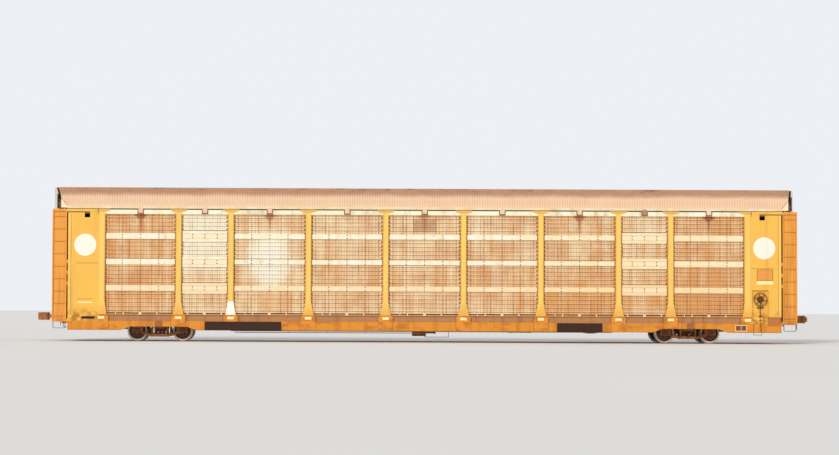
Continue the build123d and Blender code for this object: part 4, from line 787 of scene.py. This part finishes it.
def screen_patch(span, number, side):
    """One bay's corrugated sheet, solid, with the numbers that its finish reads at each point.

    The depth is a trapezoid wave of height, which fades near the ends, plus shallow dents: sines of the
    distance along the car times sines of height. Dirt and painted shade lie on the wave's slopes, and painted
    shade on the flattened crest ends by the posts.
    """
    pitch = props().corrugation_pitch
    x0, x1 = span
    width, middle = x1 - x0, (x0 + x1) / 2
    turns = int((SCREEN_TOP_H - SCREEN_LOW_H) / pitch)
    margin = (SCREEN_TOP_H - SCREEN_LOW_H - turns * pitch) / 2
    heights = SCREEN_LOW_H + margin + pitch * (np.arange(turns)[:, None] + WAVE_KNOTS).ravel()
    heights = np.concatenate([[SCREEN_LOW_H], heights, [SCREEN_TOP_H - margin, SCREEN_TOP_H]])
    edges = np.array(SHEET_EDGES)
    xs = x0 + np.concatenate([edges, np.linspace(0.1, width - 0.1, 17), width - edges[::-1]])
    h, x = np.meshgrid(heights, xs, indexing="ij")
    phase = (h - SCREEN_LOW_H - margin) / pitch
    inside = (phase > 0) & (phase < turns)
    crest = wave(phase) * inside
    from_end = np.minimum(x - x0, x1 - x)
    full = np.clip((from_end - 0.03) / 0.024, 0, 1)
    dent = 0.004 * np.sin(2.1 * x + number) * np.sin(1.7 * h + 2.0 * number)
    dent += 0.003 * np.sin(5.3 * x + 3.0 * number) * np.sin(4.1 * h)
    stand = props().corrugation_depth * crest * (0.15 + 0.85 * full)
    y = SCREEN_VALLEY_Y + stand - 0.003 + np.minimum(dent, 0.002)
    front = np.stack([x, side * y, h + RAIL], -1)
    # Painted highlight: a glare of sun over the middle of one bay, as paler tone.
    glare = np.exp(-(((x - middle) / 0.75) ** 2) - ((h - 3.0) / 0.95) ** 2) * (number == GLARE_BAY)
    tone = BAY_TONE[number] - 0.95 * glare - 0.16 * np.clip((1.55 - h) / 0.5, 0, 1) + 0.05 * (crest < 0.5)
    tone += 0.28 * (number == PALE_BAY) * np.clip((2.7 - h) / 0.5, 0, 1)
    rise = (wave(phase + 0.04) - wave(phase - 0.04)) * inside
    # Painted shade on the flattened crest ends beside the posts.
    tooth_shade = (from_end < 0.052) & (wave(phase, 0.36, 0.1) > 0.3) & inside
    values = {
        "tone": tone,
        # Dirt and painted shade: dark lines on both slopes of each corrugation, and on the crest ends.
        "grime": 0.62 * (0.8 * (rise > 0.2) + 0.55 * (rise < -0.2)) + 1.3 * tooth_shade,
        "rust": np.full(x.shape, BAY_RUST[number]),
        "across": (x - middle) * (1.0 if width > SHORT_BAY else 1.45),
        "bay": np.full(x.shape, number + 1.0),
    }
    return backed(front, (0, -side * 0.03, 0)), {key: backed_values(value) for key, value in values.items()}


def bands():
    """Pale flat strips over the laps, with raised edges in the short bays, and their bolts."""
    strips, bolts = [], {-1: [], 1: []}
    for number, (x0, x1) in enumerate(BAYS):
        short, outer = x1 - x0 < SHORT_BAY, number in (0, len(BAYS) - 1)
        half = props().band_height / 2 * (0.95 if outer else 0.8)
        rows = SHORT_BAND_ROWS if short else ((0.0, half, BAND_FACE_Y),)
        reach, seat = (0.45, 1.4662) if short else (0.67, 1.4712)
        for side in (-1, 1):
            for h in BANDS_H:
                strips += [block((x0 + 0.03, x1 - 0.03), (BAND_BACK_Y, face),
                                 (h + up - tall, h + up + tall), side) for up, tall, face in rows]
                bolts[side] += [((x0 + x1) / 2 + dx, side * seat, h + dh + RAIL)
                                for dx in (-reach, 0.0, reach) for dh in (-0.052, 0.052)]
    add_piece("screen_bands", boxes(strips), "band zinc", bevel=0.004)
    heads = [studs(bolts[side], side, 0.024, 0.012) for side in (-1, 1)]
    add_piece("screen_bolts", merge(heads), "band bolt")


class RACK_OT_screens(bpy.types.Operator):
    """Corrugated side screens, with their lap bands and bolts"""

    bl_idname = "rack.screens"
    bl_label = "Side Screens"

    def execute(self, context):
        for side, name in SIDES:
            order = range(len(BAYS))[::-side]
            made = [screen_patch(span, number, side) for span, number in zip(BAYS, order)]
            values = {key: np.concatenate([v[key] for _, v in made]) for key in made[0][1]}
            sheets = merge([patch for patch, _ in made])
            piece = add_piece(f"screen_sheets_{name}", sheets, "screen zinc", attributes=values)
            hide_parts(f"screens_{name}")
        bands()
        return {"FINISHED"}


class RACK_OT_bay_fittings(bpy.types.Operator):
    """Clamps with their straps at the top of each bay, tabs at its foot and the ledges below"""

    bl_idname = "rack.bay_fittings"
    bl_label = "Bay Fittings"

    def execute(self, context):
        for name, (finish, ys, hs, spots) in BAY_FITTINGS.items():
            blocks = [block(np.mean(span) + np.array(spot), ys, hs, side)
                      for span in BAYS for spot in spots for side in (-1, 1)]
            add_piece(name, boxes(blocks), finish, bevel=0.004)
        ledges = [block((-PANEL_X, PANEL_X), (1.44, 1.47), (0.957, 0.994), side) for side in (1, -1)]
        add_piece("bay_ledges", boxes(ledges), "ledge tan", bevel=0.004)
        return {"FINISHED"}


def roof_line():
    """The roof's section from the -y eave over the crown to the +y eave: straight runs, rounded corners."""
    slope = math.tan(math.radians(26))
    shoulder_y, shoulder_h = 0.75, 5.67
    skirt_y = PLATE_FACE_Y - 0.05
    corner_h = shoulder_h - (skirt_y - shoulder_y) * slope
    ys, hs = np.array((
        (PLATE_FACE_Y - 0.002, 4.885), (PLATE_FACE_Y - 0.022, 4.9), (skirt_y + 0.012, 5.12),
        (skirt_y, corner_h - 0.12), (skirt_y - 0.012, corner_h - 0.062), (skirt_y - 0.045, corner_h - 0.012),
        (skirt_y - 0.1, corner_h + 0.036), (skirt_y - 0.19, corner_h + 0.19 * slope),
        (1.05, shoulder_h - 0.3 * slope), (shoulder_y + 0.1, shoulder_h - 0.1 * slope + 0.002),
        (shoulder_y, shoulder_h), (shoulder_y - 0.12, shoulder_h + 0.009), (0.35, 5.69), (0.0, 5.7))).T
    return np.concatenate([-ys[:-1], ys[::-1]]), np.concatenate([hs[:-1], hs[::-1]])


def layer(x, ys, hs, normal, depth):
    """The roof's section at each x, moved in along its normals by a depth."""
    shape = np.broadcast_shapes(x.shape, ys.shape)
    y = np.broadcast_to(ys - normal[:, 0] * depth, shape)
    h = np.broadcast_to(hs - normal[:, 1] * depth + RAIL, shape)
    return np.stack([x, y, h], -1)


def cut_back(ys, inset):
    """The x of the roof's end at each y: level over the middle, then cut back by an even slope."""
    return END_FACE_X - inset - END_SLOPE * (np.abs(ys) - END_FLAT_Y).clip(0)


def end_shades(ys, hs, normal):
    """Painted shade inside each end: a dark sheet, the roof's section moved in, carried on past the sheet's
    end.
    """
    along = cut_back(ys, 0.15) + np.linspace(0.0, 0.085, 3)[:, None]
    for letter, end in ENDS:
        layers = [layer(end * along, ys, hs, normal, depth) for depth in (0.018, 0.034)]
        add_piece(f"roof_seal_{letter}", sheet(*layers), "dark gap")


class RACK_OT_roof(bpy.types.Operator):
    """Corrugated roof skin with dark sheets of painted shade inside its ends, and eaves with painted shade in
    the gap below
    """

    bl_idname = "rack.roof"
    bl_label = "Roof"

    def execute(self, context):
        ys, hs = roof_line()
        period = props().roof_pitch
        count = int(26.2 / period)
        reach = count * period / 2
        even = (np.arange(count)[:, None] + (0.0, 0.3, 0.5, 0.8)).ravel() * period - reach
        ahead = reach + np.linspace(0, 1, 17)[:, None] * (cut_back(ys, 0.11) - reach)
        x = np.concatenate([-ahead[:0:-1], np.broadcast_to(even[:, None], (len(even), len(ys))), ahead])
        t = np.mod(x / period + 0.5, 1.0)
        groove = ((t > 0.4) & (t < 0.9)).astype(float)
        mitre = MITRE_X + 0.3 * (hs - MITRE_LOW_H) / 0.36
        plain = np.clip((np.abs(x) - np.minimum(mitre, 13.56)) / 0.02, 0, 1)
        plain = np.maximum(plain, np.abs(ys) > PLATE_FACE_Y - 0.03)
        tangent = np.stack([np.gradient(ys), np.gradient(hs)], -1)
        tangent /= np.linalg.norm(tangent, axis=1)[:, None]
        normal = np.stack([-tangent[:, 1], tangent[:, 0]], -1)
        grime = groove * (1 - plain)
        sheets = sheet(layer(x, ys, hs, normal, 0.008 * grime), layer(x, ys, hs, normal, 0.014))
        values = {"grime": np.tile(grime.ravel(), 2), "plain": np.tile(plain.ravel(), 2)}
        skin = add_piece("roof_skin", sheets, "roof zinc", attributes=values)
        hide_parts("roof")
        for name, (finish, end, ys_out, hs_up) in EAVES.items():
            eaves = [block((-end, end), ys_out, hs_up, side) for side in (1, -1)]
            add_piece(name, boxes(eaves), finish, bevel=0.004)
        keep = np.abs(ys) < 1.49
        end_shades(ys[keep], hs[keep], normal[keep])
        return {"FINISHED"}


def post_patch(x, side):
    """One post: a plate whose half width goes by straight runs from row to row, and its box and brims."""
    outer = abs(x) == END_POST_X
    own = (END_POST_WIDTH if outer else POST_WIDTH) / 2
    h, half = np.array(PLATE_ROWS).T
    if abs(x) == POST_X[3]:
        h = np.maximum(h, RAISED_FOOT_H)
    half = np.maximum(half, own)
    cut = [outer and x * end > 0 for end in (-1, 1)]
    left, right = (np.full_like(half, own) if flush else half for flush in cut)
    across = np.stack([x - left, x + right], 1)
    face, up = np.full_like(across, side * POST_FACE_Y), np.repeat(h[:, None] + RAIL, 2, 1)
    front = np.stack([across, face, up], -1)
    tall = (CURB_TOP_H, SCREEN_TOP_H)
    blocks = [block((x - own - FLANK, x + own + FLANK), (BRIM_Y, PLATE_FACE_Y - 0.012), tall, side)]
    for end, flush in zip((-1, 1), cut):
        if not flush:
            brim = (x + end * (own - 0.01), x + end * (own + POST_BRIM))
            blocks.append(block(brim, (BRIM_Y, BRIM_Y + 0.01), tall, side))
    return merge([backed(front, (0, -side * 0.02, 0)), boxes(blocks)])


class RACK_OT_posts(bpy.types.Operator):
    """Posts with their caps and feet, bolts and pale reflector plates"""

    bl_idname = "rack.posts"
    bl_label = "Posts"

    def execute(self, context):
        stations = STATIONS + [-END_POST_X, END_POST_X]
        plates, heads = [], []
        for side, name in SIDES:
            patch = merge([post_patch(x, side) for x in stations])
            posts = add_piece(f"rack_posts_{name}", patch, "post paint", bevel=0.0015)
            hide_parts(f"side_posts_{name}")
            proud = (POST_FACE_Y - 0.002, POST_FACE_Y + 0.003)
            plates += [block((x - 0.118, x + 0.118), proud, (0.8, 0.895), side) for x in stations]
            spots = [(x + dx, side * (POST_FACE_Y - 0.001), h + RAIL)
                     for x in stations for dx in (-0.06, 0.06) for h in (1.0, 1.09, 4.6, 4.77)]
            heads.append(studs(spots, side, 0.014, 0.006))
        add_piece("reflector_plates", boxes(plates), "cream plate", bevel=0.001)
        add_piece("post_bolts", merge(heads), "post paint")
        return {"FINISHED"}


class RACK_OT_panels(bpy.types.Operator):
    """Finish of the end panels, with their blank discs, painted shade boxes in their slots, brake staff,
    label places and frames
    """

    bl_idname = "rack.panels"
    bl_label = "End Panels"

    def execute(self, context):
        dress("end_panels", "panel paint")
        discs = []
        for side in (-1, 1):
            places = [(-side * x, side * PANEL_FACE_Y, h + RAIL) for x, h in DISC_PLACES]
            discs.append(copies(turned(DISC_PROFILE, (0, side, 0), 64), places))
        add_piece("blank_discs", merge(discs), "white paint")
        # Painted shade: dark boxes set in the panels' slots.
        slots = [block((x, x + 0.5), (1.481, 1.503), (0.79, 0.9), side) for x, side in SLOT_PLACES]
        add_piece("panel_slots", boxes(slots), "dark gap")
        staff = block((12.322, 12.338), (1.5165, 1.5225), (0.42, 0.95), -1)
        clip = block((12.28, 12.38), (1.5165, 1.5235), (0.83, 0.86), -1)
        add_piece("brake_staff", boxes([staff, clip]), "brake brown", bevel=0.001)
        for name, (finish, proud, strips) in LABELS.items():
            depth = (PANEL_FACE_Y - 0.002, PANEL_FACE_Y + proud)
            blocks = [block((-side * x0, -side * x1), depth, (h0, h1), side)
                      for side in (-1, 1) for x0, x1, h0, h1 in strips]
            add_piece(name, boxes(blocks), finish, bevel=0.0008)
        return {"FINISHED"}


def helix():
    """A round bar on a helix: the angle grows evenly, the rise eases to flat over the end half turns."""
    wire, radius, turns = 0.014, 0.053, 5.0
    t = np.linspace(0, 1, int(turns * 16) + 1)
    low, high = SPRING_LOW_H + wire + RAIL, SPRING_TOP_H - wire + RAIL
    rise = low + (high - low) * np.clip((t * turns - 0.5) / (turns - 1.0), 0, 1)
    angle = 2 * np.pi * turns * t
    path = np.stack([radius * np.cos(angle), radius * np.sin(angle), rise], -1)
    along = np.gradient(path, axis=0)
    along /= np.linalg.norm(along, axis=1)[:, None]
    a = np.cross(along, (0.0, 0.0, 1.0))
    a /= np.linalg.norm(a, axis=1)[:, None]
    return loft(path[:, None] + wire * spun(8, a[:, None], np.cross(a, along)[:, None]))


class RACK_OT_running_gear(bpy.types.Operator):
    """Coil springs of the trucks and the bolts of the wheelsets' end caps"""

    bl_idname = "rack.running_gear"
    bl_label = "Running Gear"

    def execute(self, context):
        turn = np.radians([90, 210, 330])
        for letter, end in ENDS:
            spots = [(end * TRUCK_X + column, y, 0.0)
                     for column in (-SPRING_SPACING, 0.0, SPRING_SPACING) for y in (-JOURNAL_Y, JOURNAL_Y)]
            coil = add_piece(f"truck_{letter}_coils", copies(helix(), spots), "spring steel",
                             body=f"truck_{letter}", smooth=True)
            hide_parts(f"truck_{letter}_springs")
            for place, x in axles(end):
                up = WHEEL_RADIUS + RAIL + CAP_BOLT_RING * np.sin(turn)
                ring = np.stack([x + CAP_BOLT_RING * np.cos(turn), 0 * turn, up], -1)
                caps = [studs(ring + (0, side * CAP_FACE_Y, 0), side, 0.017, 0.018) for side in (-1, 1)]
                add_piece(f"cap_bolts_{place}_{letter}", merge(caps), "bolt steel",
                          body=f"wheelset_{place}_{letter}")
        return {"FINISHED"}


class RACK_OT_finishes(bpy.types.Operator):
    """Finishes of every CAD piece that is shown as it is"""

    bl_idname = "rack.finishes"
    bl_label = "Finishes"

    def execute(self, context):
        for finish, nodes in NODE_FINISHES.items():
            for node in nodes:
                dress(node, finish)
        for letter, end in ENDS:
            trucks = [f"truck_{letter}_{part}" for part in TRUCK_PARTS]
            for node in (*trucks, f"coupler_{letter}", f"knuckle_{letter}"):
                dress(node, "cast steel")
            dress(f"truck_{letter}_springs", "spring steel")
            for place, _ in axles(end):
                dress(f"wheelset_{place}_{letter}", f"wheel steel {place} {letter}")
            for _, hand in SIDES:
                for leaf in ("outer", "inner"):
                    dress(f"door_{letter}_{hand}_{leaf}", "door zinc")
        return {"FINISHED"}


def light(scene):
    """A soft sun, and a pale world that looks brighter to the camera, in mirrors and through glass."""
    world = bpy.data.worlds.new("studio")
    scene.world = world
    sky = Nodes(world)
    rays = sky.node("ShaderNodeLightPath").outputs
    seen_by = ("Is Camera Ray", "Is Glossy Ray", "Is Transmission Ray")
    blend = sky.node("ShaderNodeMixShader")
    sky.feed(blend, Fac=sky.chain("MAXIMUM", [rays[ray] for ray in seen_by]))
    lit, seen = sky.tree.nodes["Background"], sky.node("ShaderNodeBackground")
    sky.fill(blend.inputs[1], sky.feed(lit, Color=linear((0.97, 0.98, 1.0)), Strength=0.62)[0])
    sky.fill(blend.inputs[2], sky.feed(seen, Color=linear((0.93, 0.94, 0.96)), Strength=1.0)[0])
    sky.feed(sky.tree.nodes["World Output"], Surface=blend.outputs[0])
    sun = bpy.data.lights.new("key", "SUN")
    sun.energy = 1.75
    sun.angle = math.radians(18)
    sun.color = (1.0, 0.985, 0.96)
    key = bpy.data.objects.new("key", sun)
    key.rotation_euler = (math.radians(58), 0, math.radians(-28))
    scene.collection.objects.link(key)


def photo_camera(scene):
    """Level axis at the photograph's principal column, tipped up to its horizon, with its slight roll."""
    width, height = PHOTO_SIZE
    camera = bpy.data.cameras.new("camera")
    camera.sensor_fit = "HORIZONTAL"
    camera.sensor_width = SENSOR_WIDTH
    camera.lens = PHOTO_FOCAL / width * SENSOR_WIDTH
    camera.shift_x = (width / 2 - PHOTO_COLUMN) / width
    camera.clip_end = 1000.0
    holder = bpy.data.objects.new("camera", camera)
    pitch = math.radians(90) + math.atan((PHOTO_HORIZON - height / 2) / PHOTO_FOCAL)
    turn = Matrix.Rotation(pitch, 4, "X") @ Matrix.Rotation(math.atan(PHOTO_ROLL), 4, "Z")
    x = (PHOTO_COLUMN - PHOTO_MIDDLE) * PHOTO_SCALE
    place = Matrix.Translation((x, -SIDE_Y - PHOTO_FOCAL * PHOTO_SCALE, EYE_H + RAIL))
    holder.matrix_world = place @ turn
    scene.collection.objects.link(holder)
    scene.camera = holder


class RACK_OT_stage(bpy.types.Operator):
    """Floor, soft light and the camera at the photograph's angle"""

    bl_idname = "rack.stage"
    bl_label = "Stage"

    def execute(self, context):
        scene = context.scene
        floor = shape("floor", boxes([((-FLOOR_REACH, -FLOOR_REACH, -0.1), (FLOOR_REACH, FLOOR_REACH, 0.0))]))
        f = Finish("floor", 0.9)
        f.tone = (0.9, 0.89, 0.87)
        f.coat((0.92, 0.91, 0.89), f.noise(0.05, 0.2, 0.8, 0))
        floor.data.materials.append(f.done())
        light(scene)
        photo_camera(scene)
        scene.view_settings.view_transform = "Standard"
        return {"FINISHED"}


PIECES = (RACK_OT_stage, RACK_OT_finishes, RACK_OT_screens, RACK_OT_bay_fittings, RACK_OT_roof, RACK_OT_posts,
          RACK_OT_panels, RACK_OT_running_gear)


class RACK_PT_panel(bpy.types.Panel):
    """The autorack's pieces, sizes and colours"""

    bl_label = "Autorack Car"
    bl_idname = "RACK_PT_panel"
    bl_space_type = "VIEW_3D"
    bl_region_type = "UI"
    bl_category = "Autorack"

    def draw(self, context):
        for key in RackProps.__annotations__:
            self.layout.prop(context.scene.rack_props, key)
        for piece in PIECES:
            self.layout.operator(piece.bl_idname)


CLASSES = (RackProps, *PIECES, RACK_PT_panel)


def register():
    for cls in CLASSES:
        bpy.utils.register_class(cls)
    bpy.types.Scene.rack_props = PointerProperty(type=RackProps)


def unregister():
    del bpy.types.Scene.rack_props
    for cls in reversed(CLASSES):
        bpy.utils.unregister_class(cls)


def main():
    register()
    bpy.ops.rack.stage()
    bpy.ops.rack.finishes()
    bpy.ops.rack.screens()
    bpy.ops.rack.bay_fittings()
    bpy.ops.rack.roof()
    bpy.ops.rack.posts()
    bpy.ops.rack.panels()
    bpy.ops.rack.running_gear()


if __name__ == "__main__":
    main()
